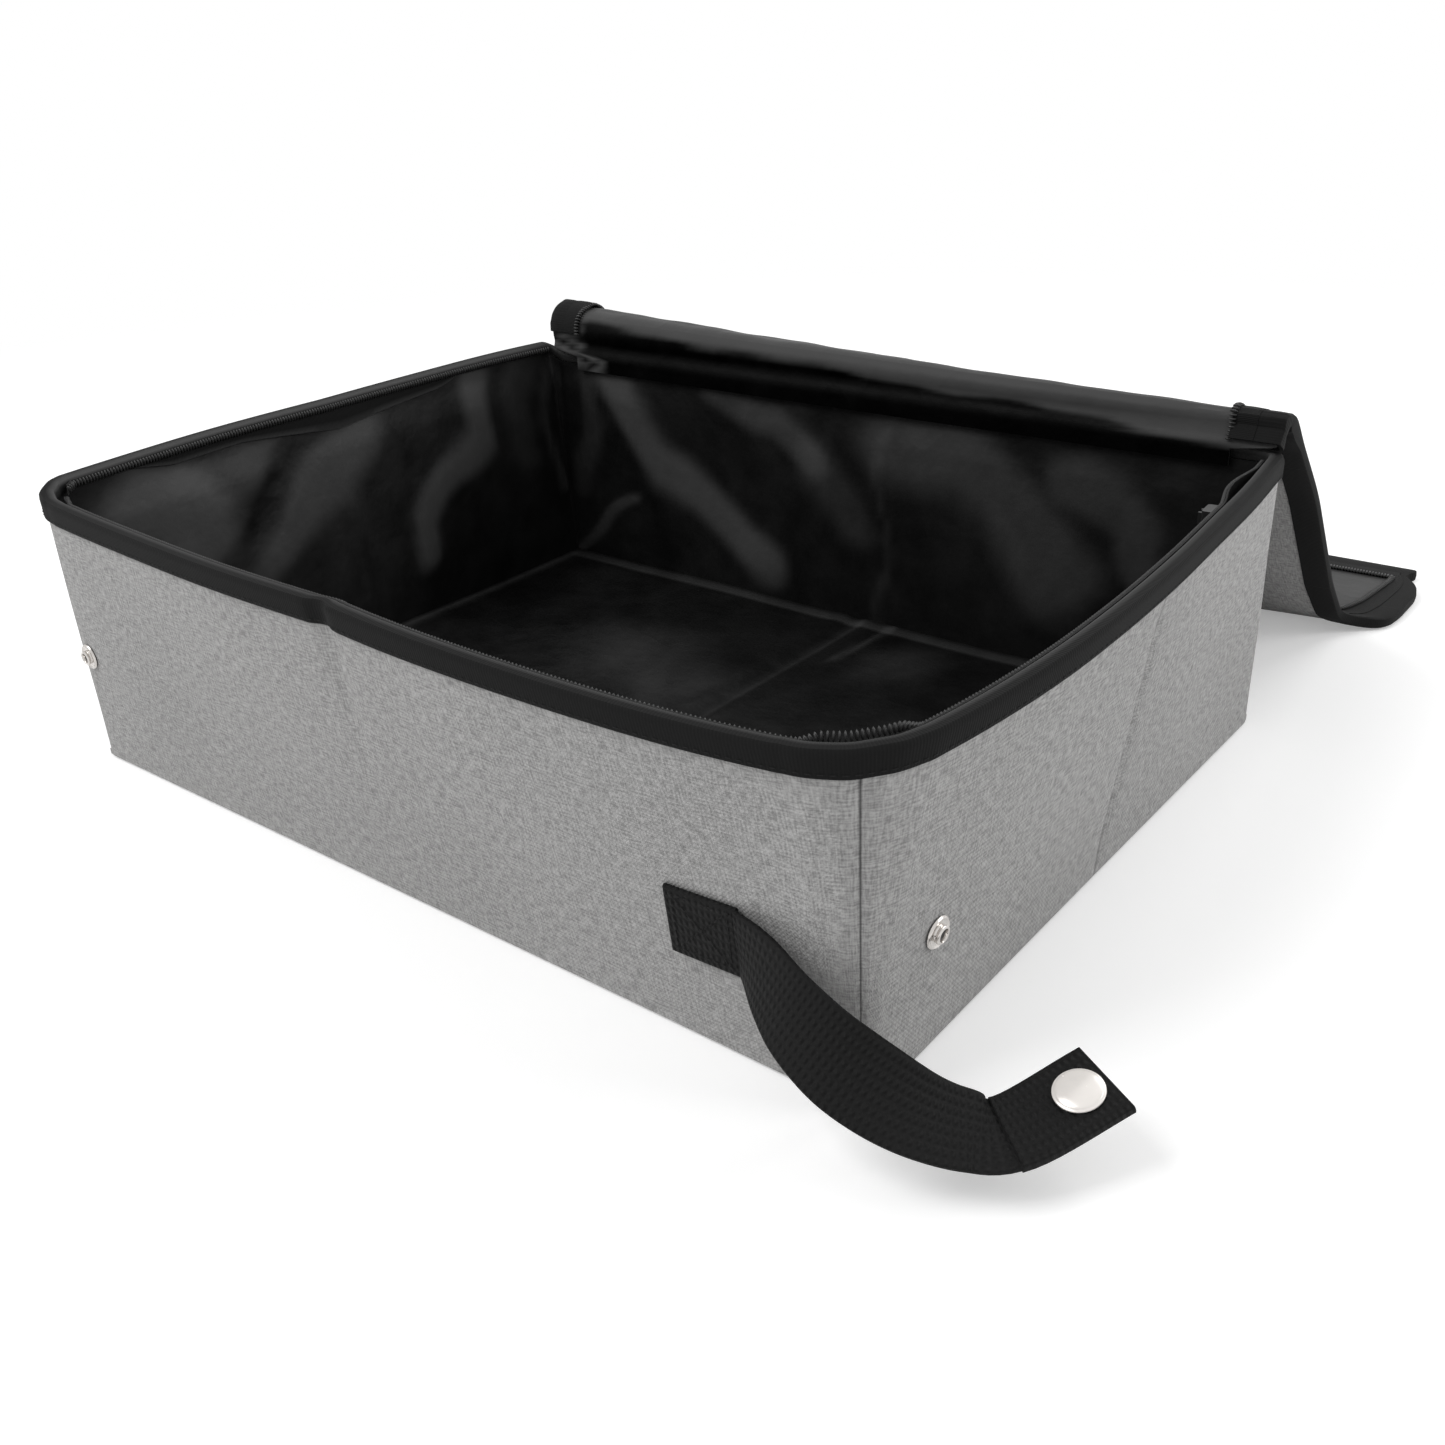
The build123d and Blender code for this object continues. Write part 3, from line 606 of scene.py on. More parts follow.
def closed(piece, angle=SHARP):
    """Turns a closed piece's faces outward and marks its sharp edges, where smooth shading stops."""
    mesh = piece.data
    mesh.calc_loop_triangles()
    corners = ([mesh.vertices[i].co for i in triangle.vertices] for triangle in mesh.loop_triangles)
    if sum(a.dot(b.cross(c)) for a, b, c in corners) < 0:
        mesh.flip_normals()
    mesh.set_sharp_from_angle(angle=math.radians(angle))
    return piece


def paced(points, start=0.0):
    """The distance along a line of points, at each of them."""
    marks = [start]
    for here, there in zip(points, points[1:]):
        marks.append(marks[-1] + float(np.linalg.norm(np.subtract(there, here))))
    return marks


def ring_sweep(name, rings, along, around, material, shades=None):
    """Joins rings of equal size into a closed tube with capped ends."""
    count, last = len(rings[0]), len(rings) - 1
    points = [point for ring in rings for point in ring]
    cloth = [(reach, r) for reach in along for r in around]
    faces = []
    for a in range(0, last * count, count):
        for j in range(count):
            k = (j + 1) % count
            faces.append((a + j, a + k, a + count + k, a + count + j))
    faces += [tuple(range(count))[::-1], tuple(last * count + j for j in range(count))]
    return closed(make_mesh(name, points, faces, [material], cloth, shades))


def wall_sweep(name, pieces, ring, warp, material, spacing=4.0, pace=None):
    """Carries a ring of (depth, height, shade) along the wall; warp moves and shades its points."""
    places = stations(pieces, spacing)
    rings, shades = [], []
    for place in places:
        spots = [warp(*place, *spot) for spot in ring]
        rings.append([wall_place(*place, depth, z) for depth, z, _ in spots])
        shades += [shade for _, _, shade in spots]
    pace = len(ring) // 3 if pace is None else pace
    along = paced([points[pace] for points in rings], perimeter_at(places[0]))
    around = paced([spot[:2] for spot in ring])
    piece = ring_sweep(name, rings, along, around, material, shades)
    piece["run"] = along[-1] - along[0]
    return piece


def lay(name, ring, warp, material, slot, layer, spans=None, spacing=4.0, pace=None, held=None):
    """Sweeps a layer span by span; six of the spans stand for the frame's own pieces of it."""
    for span, (pieces, rides) in SPANS.items():
        pieces = spans.get(span) if spans else pieces
        if not pieces:
            continue
        piece = wall_sweep(f"{name}_{span}", pieces, ring, warp, material, spacing, pace)
        attach(piece, rides, slot, *[f"{node}_{layer}" for node in STANDS_FOR.get(span, ())])
        if held:
            height = max(spot[1] for spot in ring) - min(spot[1] for spot in ring)
            cut = (piece["run"] * MM, height * MM)


def tall_ring(outer, inner, low, high, count):
    """A thin upright ring: up the outer face, over, and down the inner face."""
    heights = [low + (high - low) * i / count for i in range(count + 1)]
    return [(outer, z, 1.0) for z in heights] + [(inner, z, 1.0) for z in reversed(heights)]


print("ready to sweep")

# %% [markdown]
# ## The outer cloth and the lining
# The outer cloth runs from just above the ground to under the binding. The lining has deep soft
# folds, which lean at about forty five degrees on the rear and left walls, where the tray has been
# folded, so its inner face is pushed in and out by up to a few millimetres. Light is painted into
# the lining's colour where a fold lifts it.

# %% Outer cloth
COVER_RING = tall_ring(0.0, -0.7, 0.5, 115.5, 22)
# Painted shade in the seam's groove and along the side walls' folds.
SEAM_SHADE, CREASE_SHADE = 0.1, 0.62


def cover_spot(stretch, t, depth, z, shade):
    """Painted shade: plain cloth is 1, the seam's groove darkest and the side walls' folds a little
    darker.
    """
    if stretch == 1 and abs(t - SEAM) < 0.01:
        shade = SEAM_SHADE
    if stretch in (2, 6) and abs(t - 0.5) < 0.001:
        shade = CREASE_SHADE
    return depth, z, shade


lay("cover", COVER_RING, cover_spot, outer_cloth, "grey_cloth", "cover", spacing=7.0, held="stretched")
print("outer cloth in", len(SPANS), "pieces")

# %% Lining with soft folds
LINING_OUTER, LINING_THICK = -3.85, 0.45
LINING_RING = tall_ring(LINING_OUTER, LINING_OUTER - LINING_THICK, 4.3, 113.5, 44)
# Each soft fold: its wall, its course as (place along the wall, height), its half width and how
# much light is painted on it (below zero, painted shade). Places are X on the rear wall and Y on
# the left wall.
LINING_FOLDS = [
    ("left", [(-32, 102), (-57, 102), (-86, 95)], 12, 0.5),
    ("left", [(-110, 98), (-94, 90), (-82, 73)], 22, 0.85),
    ("left", [(-14, 105), (-46, 84), (-70, 58)], 9, -0.5),
    ("left", [(14, 101), (-6, 82), (-28, 73), (-53, 62)], 15, 0.65),
    ("left", [(96, 112), (88, 83), (67, 67), (45, 49), (38, 34)], 10, 0.8),
    ("left", [(125, 110), (118, 66)], 12, 0.35),
    ("left", [(140, 105), (138, 40)], 4, 0.4),
    ("rear", [(-155, 111), (-140, 90), (-125, 66), (-90, 45), (-56, 27)], 15, 0.85),
    ("rear", [(-93, 108), (-48, 102), (-25, 78)], 10, 0.5),
    ("rear", [(-25, 78), (-5, 55)], 15, 0.35),
    ("rear", [(22, 101), (60, 91), (88, 75), (106, 49)], 22, 0.55),
    ("rear", [(114, 95), (147, 73), (144, 55)], 13, 0.5),
    ("rear", [(15, 105), (15, 5)], 3, 0.2),
    ("rear", [(-144, 47), (-170, 20), (-192, 4)], 3.5, 0.5),
    ("rear", [(-174, 101), (-181, 41)], 8, 0.3),
]


def fold_light(wall, along, z):
    """How much the folds lift the lining at a place on a wall, and how much light is painted on it."""
    here = np.array((along + 4 * math.sin(z * 0.09 + along * 0.05), z + 4 * math.sin(along * 0.08)))
    total = 0.0
    for side, course, width, light in LINING_FOLDS:
        if side == wall:
            best = math.inf
            for start, end in zip(course, course[1:]):
                run = np.subtract(end, start)
                share = clamp(float(np.dot(here - start, run) / np.dot(run, run)))
                best = min(best, float(np.linalg.norm(here - start - run * share)))
            total += light * eased(1.35 - best / width)
    return total


def lining_spot(stretch, t, depth, z, shade):
    """The lining's inner face stands off its wall, with light painted on it where a fold lifts it."""
    if depth == LINING_OUTER:
        return depth, z, 0.0
    x, y = plan_point(stretch, t, 0.5)
    wall = "rear" if y > HALF_WIDTH - 14 and abs(x) < HALF_LENGTH - 3 else "left" if x < 0 else "right"
    light = 0.0
    if wall != "right" and stretch in (4, 5, 6):
        light = fold_light(wall, x if wall == "rear" else y, z)
    edge = clamp((z - 6) / 14) * clamp((108 - z) / 12)
    wave = 0.5 + 0.5 * math.sin((x + y) * 0.06 + z * 0.05 + stretch)
    return depth - edge * (1.5 * max(light, -0.3) + 0.5 + 0.35 * wave), z, 0.16 + light * 0.7


lay("lining", LINING_RING, lining_spot, lining_cloth, "black_lining", "lining", pace=0, held="hung")
print("lining in", len(SPANS), "pieces")

# %% [markdown]
# ## The binding and the zip
# The binding is a tape folded over the rim, so its ring is a rounded hook, with a painted highlight
# on the inner edge that faces the light. Behind the rear rim, where the lid is sewn on, it lies
# flatter. Inside the rim hangs the zip tape, with its row of teeth along the top and painted
# highlights on its edges.

# %% Binding
# Each point's third value is its shade: above 1 paints a highlight on the inner top edge.
BINDING_RING = [(0.15, 109.6, 1.0), (1.0, 109.4, 1.0), (1.35, 110.1, 1.0), (1.35, 113.0, 1.0)]
BINDING_RING += [(1.4, 115.8, 1.0), (1.2, 117.2, 1.0), (0.4, 118.2, 1.0), (-1.5, 118.5, 1.0)]
BINDING_RING += [(-3.3, 118.3, 1.5), (-4.5, 117.5, 2.0), (-4.95, 116.0, 1.2), (-4.95, 113.6, 1.0)]
BINDING_RING += [(-4.5, 113.4, 1.0), (-4.3, 115.6, 1.0), (-3.4, 116.7, 1.0), (-1.0, 117.0, 1.0)]
BINDING_RING += [(0.15, 116.4, 1.0)]


def under_lid(stretch, t, depth, z, shade):
    """Behind the lid's seam the binding's inner edge is drawn in, and its top lies a little lower."""
    flat = eased((plan_point(stretch, t, 1.0)[1] - 143) / 6)
    return depth * (1 - 0.3 * flat) if depth < -3 else depth, min(z, 118.3 - 0.4 * flat), shade


lay("binding", BINDING_RING, under_lid, binding_tape, "black_binding", "binding")
print("binding ring has", len(BINDING_RING), "points")

# %% Zip tape
TAPE_FOOT, TAPE_TOP, RAISED_FOOT = 105.0, 116.9, 113.0
# Shades above 1 paint highlights on the tape's top edge and along its lower edge.
TAPE_RING = [(-5.4, 116.8, 1.0), (-6.0, TAPE_TOP, 1.3), (-6.3, 113, 1.0), (-6.2, 109, 1.0)]
TAPE_RING += [(-5.9, TAPE_FOOT + 0.5, 1.5), (-5.5, TAPE_FOOT, 2.0), (-5.2, TAPE_FOOT + 0.6, 1.0)]
TAPE_RING += [(-5.3, 109, 1.0), (-5.4, 113, 1.0)]
LEFT_PLACES = (-127, -96, -55, 4, 37, 73, 92)
LEFT_FOOT = (115.0, 110.0, 110.5, 104.8, 107.5, 110.0, 115.0)
ZIP_SPANS = {span: pieces for span, (pieces, _) in SPANS.items() if span != "rear"}
ZIP_SPANS |= {"front": [(7, 0.75, 1), (0, 0, 0.82)], "left": [(6, 0.8, 1), (7, 0, 0.25)]}
ZIP_SPANS |= {"rear_right": [(2, 0.8, 1)], "rear_left": [(6, 0, 0.2)]}


def zip_sag(stretch, t):
    """How far the zip leans into the tray: it bulges in at the rear end of the right wall."""
    if stretch == 7:
        return 2.6 * fold_bump(t - 0.5, 0.8)
    return 3.6 * fold_bump(t - 0.87, 0.1) if stretch == 2 else 0.0


def loose_tape(stretch, t, depth, z, shade):
    """The tape's lower edge hangs in soft waves, and its own way on the left wall."""
    foot = TAPE_FOOT + 1.2 * math.sin(t * 21 + stretch)
    if stretch == 6:
        foot = float(np.interp(HALF_WIDTH * (1 - 2 * t), LEFT_PLACES, LEFT_FOOT))
    if stretch in (5, 7):
        foot = RAISED_FOOT
    drop = (TAPE_TOP - z) * (TAPE_TOP - foot) / (TAPE_TOP - TAPE_FOOT)
    return depth - zip_sag(stretch, t), TAPE_TOP - drop, shade


lay("zip_tape", TAPE_RING, loose_tape, zip_tape, "black_zip", "zip", ZIP_SPANS)
print("zip tape in", len(ZIP_SPANS), "pieces")

# %% [markdown]
# ## Teeth and stitches
# Both are one small shape, repeated at an even pitch along a path. Geometry Nodes do that: the path
# becomes a curve, the curve is resampled at the pitch, and the shape is placed on every point and
# turned to the path. The tree ends in real geometry with its material, and each result is made a
# plain mesh, which rides its wall or, where it crosses a fold, keeps its baked place.

# %% A tree that repeats a bead along a path
INPUTS = {"Pitch": 0.0002, "Length": 0.0001, "Width": 0.0001, "Height": 0.0001}
beads = Tree(bpy.data.node_groups.new("beads_along_a_path", "GeometryNodeTree"))
socket = beads.tree.interface.new_socket
socket("Geometry", in_out="INPUT", socket_type="NodeSocketGeometry")
for label, low in INPUTS.items():
    made = socket(label, in_out="INPUT", socket_type="NodeSocketFloat")
    made.default_value, made.min_value = 0.002, low
socket("Material", in_out="INPUT", socket_type="NodeSocketMaterial")
socket("Geometry", in_out="OUTPUT", socket_type="NodeSocketGeometry")
outputs = beads.node("NodeGroupInput").socket.node.outputs
given = {label: Value(beads, outputs[label]) for label in ("Geometry", *INPUTS, "Material")}
curve = beads.node("GeometryNodeMeshToCurve", values={"Mesh": given["Geometry"]})
evenly = {"Curve": curve, "Length": given["Pitch"]}
spots = beads.node("GeometryNodeResampleCurve", {"mode": "LENGTH"}, evenly)
named = {"data_type": "FLOAT_VECTOR"}
facing = beads.node("GeometryNodeInputNamedAttribute", named, {"Name": "facing"}, "Attribute")
align = "FunctionNodeAlignRotationToVector"
turn = beads.node(align, {"axis": "X"}, {"Vector": beads.node("GeometryNodeInputTangent")})
roll = beads.node(align, {"axis": "Z", "pivot_axis": "X"}, {"Rotation": turn, "Vector": facing})
ball = beads.node("GeometryNodeMeshUVSphere", values={"Segments": 8, "Rings": 5, "Radius": 0.5})
size = beads.node("ShaderNodeCombineXYZ", values=[given[label] for label in list(INPUTS)[1:]])
placed = {"Points": spots, "Instance": ball, "Rotation": roll, "Scale": size}
row = beads.node("GeometryNodeInstanceOnPoints", values=placed)
for kind in ("GeometryNodeRealizeInstances", "GeometryNodeSetShadeSmooth"):
    row = beads.node(kind, values={"Geometry": row})
painted = {"Geometry": row, "Material": given["Material"]}
row = beads.node("GeometryNodeSetMaterial", values=painted)
beads.node("NodeGroupOutput", values={"Geometry": row})
print("bead tree has", len(beads.tree.nodes), "nodes")

# %% Beads on a path


def beads_along(name, points, facings, pitch, size, material):
    """Runs the tree on a path in mm and returns the beads as one plain mesh object."""
    mesh = bpy.data.meshes.new(name + "_path")
    edges = [(i, i + 1) for i in range(len(points) - 1)]
    mesh.from_pydata([tuple(np.asarray(p, float) * MM) for p in points], edges, [])
    keep(mesh, "facing", "FLOAT_VECTOR", "vector", facings)
    path = add_object(name + "_path", mesh)
    modifier = path.modifiers.new("beads", "NODES")
    modifier.node_group = beads.tree
    wanted = dict(zip(("Length", "Width", "Height"), (part * MM for part in size)))
    wanted |= {"Pitch": pitch * MM, "Material": material}
    for item in beads.tree.interface.items_tree:
        if item.in_out == "INPUT" and item.name in wanted:
            modifier[item.identifier] = wanted[item.name]
    bpy.context.view_layer.update()
    graph = bpy.context.evaluated_depsgraph_get()
    result = bpy.data.meshes.new_from_object(path.evaluated_get(graph))
    path.modifiers.clear()
    bpy.data.objects.remove(path)
    result.name = name
    if not result.materials:
        result.materials.append(material)
    return add_object(name, result)


def wall_path(pieces, depth, z, shift=lambda *place: (0.0, 0.0)):
    """A path along the wall at one depth and height, with the outward direction at each point."""
    points, facings = [], []
    for place in stations(pieces, 2.0):
        inward, up = shift(*place)
        points.append(wall_place(*place, depth - inward, z + up))
        facings.append((*face_way(*place, 1.0), 0.0))
    return points, facings


def teeth_shift(stretch, t):
    """Teeth lean in with the tape, and show above the rim where the zip rounds the near corner."""
    return zip_sag(stretch, t), 3.1 * eased(2.2 - abs(t - 0.55) * 4.4) if stretch == 1 else 0.0


print("wall paths ready")

# %% Zip teeth round the rim and stitches along the binding
TOOTH_PITCH, TOOTH = 1.5, (0.95, 3.4, 1.9)
STITCH_PITCH, STITCH = 3.2, (2.1, 0.4, 0.3)
for span, pieces in ZIP_SPANS.items():
    path = wall_path(pieces, -6.6, 115.2, teeth_shift)
    teeth = beads_along(f"zip_teeth_{span}", *path, TOOTH_PITCH, TOOTH, nylon_teeth)
    attach(teeth, SPANS[span][1], "black_zip")
for span, (pieces, rides) in SPANS.items():
    path = wall_path(pieces, 1.42, 110.9)
    stitches = beads_along(f"binding_stitches_{span}", *path, STITCH_PITCH, STITCH, black_thread)
    attach(stitches, rides, "black_binding")
print("teeth every", TOOTH_PITCH, "mm, stitches every", STITCH_PITCH, "mm")

# %% [markdown]
# ## The floor
# The floor's lining lies over a soft pad, with a crease at its middle, a low welt where it meets the
# walls, and the dents of having been packed flat. As the walls fold, the floor pleats between them;
# its pieces here ride the rear wall.

# %% A slab on a grid


def slab(name, points, columns, materials, cloth, shades=None):
    """A closed slab from two layers of points, each on a grid; its sides go with the second layer."""
    row, size = columns + 1, len(points) // 2
    rows = size // row - 1
    faces, slots = [], []
    for j in range(rows):
        for a in range(j * row, j * row + columns):
            faces.append((a, a + row, a + row + 1, a + 1))
            faces.append((size + a, size + a + 1, size + a + row + 1, size + a + row))
            slots += [0, 1]
    border = [*range(columns), *(columns + j * row for j in range(rows))]
    border += [size - 1 - i for i in range(columns)] + [(rows - j) * row for j in range(rows)]
    for a, b in zip(border, border[1:] + border[:1]):
        faces.append((a, b, size + b, size + a))
        slots.append(1)
    slots = slots if len(materials) > 1 else None
    return closed(make_mesh(name, points, faces, materials, cloth, shades, slots))


print("ready for slabs")

# %% Floor
FLOOR_TOP, FLOOR_EDGE, CLOTH_EDGE = 3.9, 4.3, 0.9
# Each patch of painted light on the floor: its middle and its reach.
FLOOR_PATCHES = [(-74, 58, 40), (-25, 36, 30), (47, 109, 26), (100, 20, 45)]


def floor_height(x, y):
    """The lining's height over the floor, in mm."""
    crease = -0.7 * fold_bump(x - 3 * math.sin(y * 0.02), 7) + 0.5 * fold_bump(abs(x) - 8, 6)
    across = -0.4 * fold_bump(y, 6) + 0.3 * fold_bump(abs(y) - 7, 5)
    welt = 1.3 * fold_bump(min(HALF_LENGTH - 5 - abs(x), HALF_WIDTH - 5 - abs(y)), 6)
    soft = 0.45 * math.sin(x * 0.021 + 1.0) * math.sin(y * 0.027 + 0.4)
    soft += 0.2 * math.sin(x * 0.06 + y * 0.045)
    return FLOOR_TOP + crease + across + welt + soft


def floor_shade(x, y):
    """Painted light on the floor's lining: soft patches, highlights on its welts and a short crease at
    the rear.
    """
    light = sum(0.2 * eased(1.3 - math.dist((x, y), patch[:2]) / patch[2]) for patch in FLOOR_PATCHES)
    welt = 0.45 * fold_bump(min(HALF_LENGTH - 8 - abs(x), HALF_WIDTH - 9 - abs(y)), 3.0)
    crease = 0.28 * fold_bump(x - 17 - 0.09 * (y - 96), 3.5) * eased((y - 90) / 12)
    return 0.1 + light + welt + crease + 0.2 * fold_bump(x - 4, 4)


def floor_piece(name, edge, material, top, low, step, shade, *nodes):
    """A piece of the floor, which rides the rear wall."""
    half_x, half_y = HALF_LENGTH - edge, HALF_WIDTH - edge
    nx, ny = round(2 * half_x / step), round(2 * half_y / step)
    xs = [-half_x + 2 * half_x * i / nx for i in range(nx + 1)]
    plan = [(x, -half_y + 2 * half_y * j / ny) for j in range(ny + 1) for x in xs]
    points = [(x, y, top(x, y)) for x, y in plan] + [(x, y, low) for x, y in plan]
    piece = slab(name, points, nx, [material], plan * 2, [shade(x, y) for x, y in plan * 2])
    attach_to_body(piece, "rear_wall")
    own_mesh(piece)
    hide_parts(*nodes)
    return piece, (2 * half_x * MM, 2 * half_y * MM)


floor_lining, _ = floor_piece(
    "floor_lining_sheet", FLOOR_EDGE, lining_cloth, floor_height, 3.0, 3.0, floor_shade,
    "floor_lining", "floor_pad",
)
floor_cloth, cut = floor_piece(
    "floor_cloth", CLOTH_EDGE, outer_cloth, lambda x, y: 2.6, 0.0, 8.0, lambda x, y: 1.0, "floor_cover"
)

# %% [markdown]
# ## The lid
# The lid is one long flap. Its path goes up from the rear rim, over a soft roll, straight down a
# stiffened panel, and out along the ground. A point of it has a place across the lid, a distance
# down the path and a height above the outer cloth's face. The roll sags toward the right, as in the
# photograph, and the last panel's right edge flares.

# %% The lid's path
RIM_HINGE = np.array((149.0, 124.1))
ROLL = np.array((157.0, 147.0))
ROLL_SINK = np.array((1.2, 17.0))
GROUND_FOLD = np.array((259.6, 0.5))
LID_END, LID_HALF = 358.0, 198.5
STRIP_RUN = float(np.linalg.norm(ROLL - RIM_HINGE))
SLOPE_RUN = float(np.linalg.norm(GROUND_FOLD - ROLL))
FOLD_AT = STRIP_RUN + SLOPE_RUN
LID_RUN = FOLD_AT + (LID_END - GROUND_FOLD[0])
ROLL_CUT, FOLD_CUT = 14.0, 18.0
TUCK_RUNS = (0.0, 6.4, 14.2)
TUCK = ((149.0, 145.3, 145.1), (124.1, 118.8, 111.0))
SPREAD_RUNS = (-38, -8, 2, 8, 16, 30, 60, 72, 80, 86, 91, 99)
BORDER_INNER = (176.5, 181, 187, 191, 195, 199, 202, 203, 203, 202, 203, 205)
BORDER_OUTER = (198.5, 200.5, 206, 213, 218, 219.5, 219.5, 217, 213, 206, 211, 212)
SPREAD_SOFT = 4.0
HANG = 8.5


def roll_corner(x):
    """The roll's sagging corner at a place across the lid."""
    return ROLL - ROLL_SINK * (x / (2 * LID_HALF) + 0.5)


def lid_line(x, run):
    """A point (y, z) of the outer cloth's line, before its corners are rounded."""
    corner = roll_corner(x)
    if run < 0:
        return np.array([np.interp(-run, TUCK_RUNS, values) for values in TUCK])
    if run < STRIP_RUN:
        return RIM_HINGE + (corner - RIM_HINGE) * (run / STRIP_RUN)
    if run < FOLD_AT:
        return corner + (GROUND_FOLD - corner) * ((run - STRIP_RUN) / SLOPE_RUN)
    return GROUND_FOLD + np.array((run - FOLD_AT, 0.0))


def lid_soft_line(x, run):
    """The same line with its two corners eased into curves."""
    for corner, cut in ((STRIP_RUN, ROLL_CUT), (FOLD_AT, FOLD_CUT)):
        if abs(run - corner) < cut:
            ends = (lid_line(x, corner + shift) for shift in (-cut, 0.0, cut))
            return arc(*ends, (run - corner + cut) / (2 * cut))
    return lid_line(x, run)


def lid_across(x, run):
    """A place across the lid: drawn in where the strip tucks in, and flared at the last panel."""
    past = run - FOLD_AT
    if past < SPREAD_RUNS[0] or x < 0:
        return x * (1 - 0.093 * eased((-5.2 - run) / 2))
    reach = min(SPREAD_SOFT, LID_RUN - FOLD_AT - past + 1)
    near = np.linspace(past - reach, past + reach, 7)
    borders = (BORDER_INNER, BORDER_OUTER)
    inner, outer = (float(np.interp(near, SPREAD_RUNS, values).mean()) for values in borders)
    if x < BORDER_INNER[0]:
        return x * inner / BORDER_INNER[0]
    return inner + (x - BORDER_INNER[0]) * (outer - inner) / (BORDER_OUTER[0] - BORDER_INNER[0])


def lid_place(x, run, height):
    """The point, in mm, at a height above the outer cloth's face, on the lining's side."""
    way = unit(lid_soft_line(x, run + 0.5) - lid_soft_line(x, run - 0.5))
    y, z = lid_soft_line(x, run) + np.array((-way[1], way[0])) * height
    hang = HANG * eased((x - 110) / 85) * eased((run - STRIP_RUN - 5) / 70)
    return (lid_across(x, run), y + hang * eased((LID_RUN - run) / 80), z)


print("lid path", round(LID_RUN, 1), "mm; crest", round(lid_soft_line(-190, STRIP_RUN)[1], 1))

# %% [markdown]
# The flap is cut into sections. The slope and the last panel ride one body each; the strip's root,
# the roll and the fold at the ground lie across joints and only have their transforms baked. Each
# section has a lined slab in the middle, binding round its edges, and zip tape with teeth just inside
# it.

# %% Sections of the lid
SECTIONS = {
    "root": (-14.2, 13.0, ("rear_wall", "lid_strip", (0, 147.0, 119), (0, 151.5, 131))),
    "roll": (13.0, 62.0, ("lid_strip", "lid_rear_panel", (0, 153.4, 137), (0, 170.5, 133.1))),
    "slope": (62.0, FOLD_AT - 40, "lid_rear_panel"),
    "ground": (
        FOLD_AT - 40, FOLD_AT + 30, ("lid_rear_panel", "lid_front_panel", (0, 250.0, 12), (0, 268.0, 2))
    ),
    "front": (FOLD_AT + 30, LID_RUN, "lid_front_panel"),
}
SECTION_PARTS = {"root": "lid_strip", "slope": "lid_rear", "front": "lid_front"}
BOUND = 12.0
SLAB_HALF = LID_HALF - BOUND + 0.4
LID_THICK, STRIP_THICK, ROLL_BULGE = 3.7, 1.4, 5.0
SLAB_COLUMNS = 60


def section_nodes(section, *layers):
    """The frame's own pieces of a section, layer by layer."""
    names = [f"{SECTION_PARTS.get(section)}_{layer}" for layer in layers]
    return [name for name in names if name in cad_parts]


def lid_thickness(run):
    """Thin cloth on the strip, a bulge in the roll, and a board's thickness past it."""
    bulge = ROLL_BULGE * fold_bump(run - 9, 14)
    return STRIP_THICK + (LID_THICK - STRIP_THICK) * eased((run - 34) / 16) + bulge


def lid_shade(x, run, z):
    """Painted light on the lid's lining: the roll's lit top over painted shade, a flap at its left, the
    slope.
    """
    if run >= STRIP_RUN:
        return 0.9 + 0.1 * math.sin(x * 0.03 + run * 0.05)
    crest = roll_corner(x)[1] - 3.0
    lit = 7.0 + 1.5 * (x / (2 * LID_HALF) + 0.5)
    lit += 0.9 * math.sin(x * 0.05) + 0.6 * math.sin(x * 0.13 + 1)
    flap = 0.95 * eased((-172 - x) / 6) * (0.6 + 0.4 * math.sin(run * 0.9 + x * 0.3))
    return max(0.02 + 0.95 * eased((lit - crest + z + 2) / 4), flap)


def runs_between(start, end, step=4.0):
    """Distances down the path, closer at its bends."""
    marks = [start]
    while marks[-1] < end - 1e-6:
        near = min(abs(marks[-1] - STRIP_RUN), abs(marks[-1] - FOLD_AT), abs(marks[-1] + 6) + 7)
        marks.append(min(end, marks[-1] + (1.5 if near < 14 else step)))
    return marks


def lid_wrinkle(x, run):
    """Small waves of the lining over the roll and the slope."""
    wave = math.sin(x * 0.11 + run * 0.25) + 0.6 * math.sin(x * 0.23 - run * 0.2 + 2.0)
    return fold_bump(run - STRIP_RUN, 26) * 0.2 * wave + 0.12 * math.sin(x * 0.05 + run * 0.07)


def lid_slab(name, runs, half, corner):
    """A section's lined slab, outer cloth below and lining above, with round corners at its end."""
    points, cloth, shades = [], [], []
    for top in (0, 1):
        for run in runs:
            inside = max(0.0, run - (runs[-1] - corner))
            reach = half - corner + math.sqrt(max(0.0, corner**2 - inside**2))
            for i in range(SLAB_COLUMNS + 1):
                x = -reach + 2 * reach * i / SLAB_COLUMNS
                height = lid_thickness(run) + lid_wrinkle(x, run) if top else 0.0
                points.append(lid_place(x, run, height))
                cloth.append((x, run))
                shades.append(lid_shade(x, run, points[-1][2]) if top else 1.0)
    return slab(name, points, SLAB_COLUMNS, [outer_cloth, lid_lining_cloth], cloth, shades)


for section, (start, end, rides) in SECTIONS.items():
    runs = runs_between(start, end - (BOUND - 0.4 if section == "front" else 0))
    half = LID_HALF - 2 if section == "root" else SLAB_HALF
    piece = lid_slab(f"lid_{section}", runs, half, 3.0 if section == "front" else 0.0)
    attach(piece, rides, "grey_cloth", *section_nodes(section, "cover", "lining", "board"))
    cut = (2 * half * MM, (runs[-1] - runs[0]) * MM)
print("lid sections", list(SECTIONS))

# %% [markdown]
# The binding and the zip follow the lid's edge: straight down both sides, and round the two far
# corners of the last panel. Their path is written in the lid's own flat coordinates, and the ring is
# carried along it with its width pointing outward across the lid.

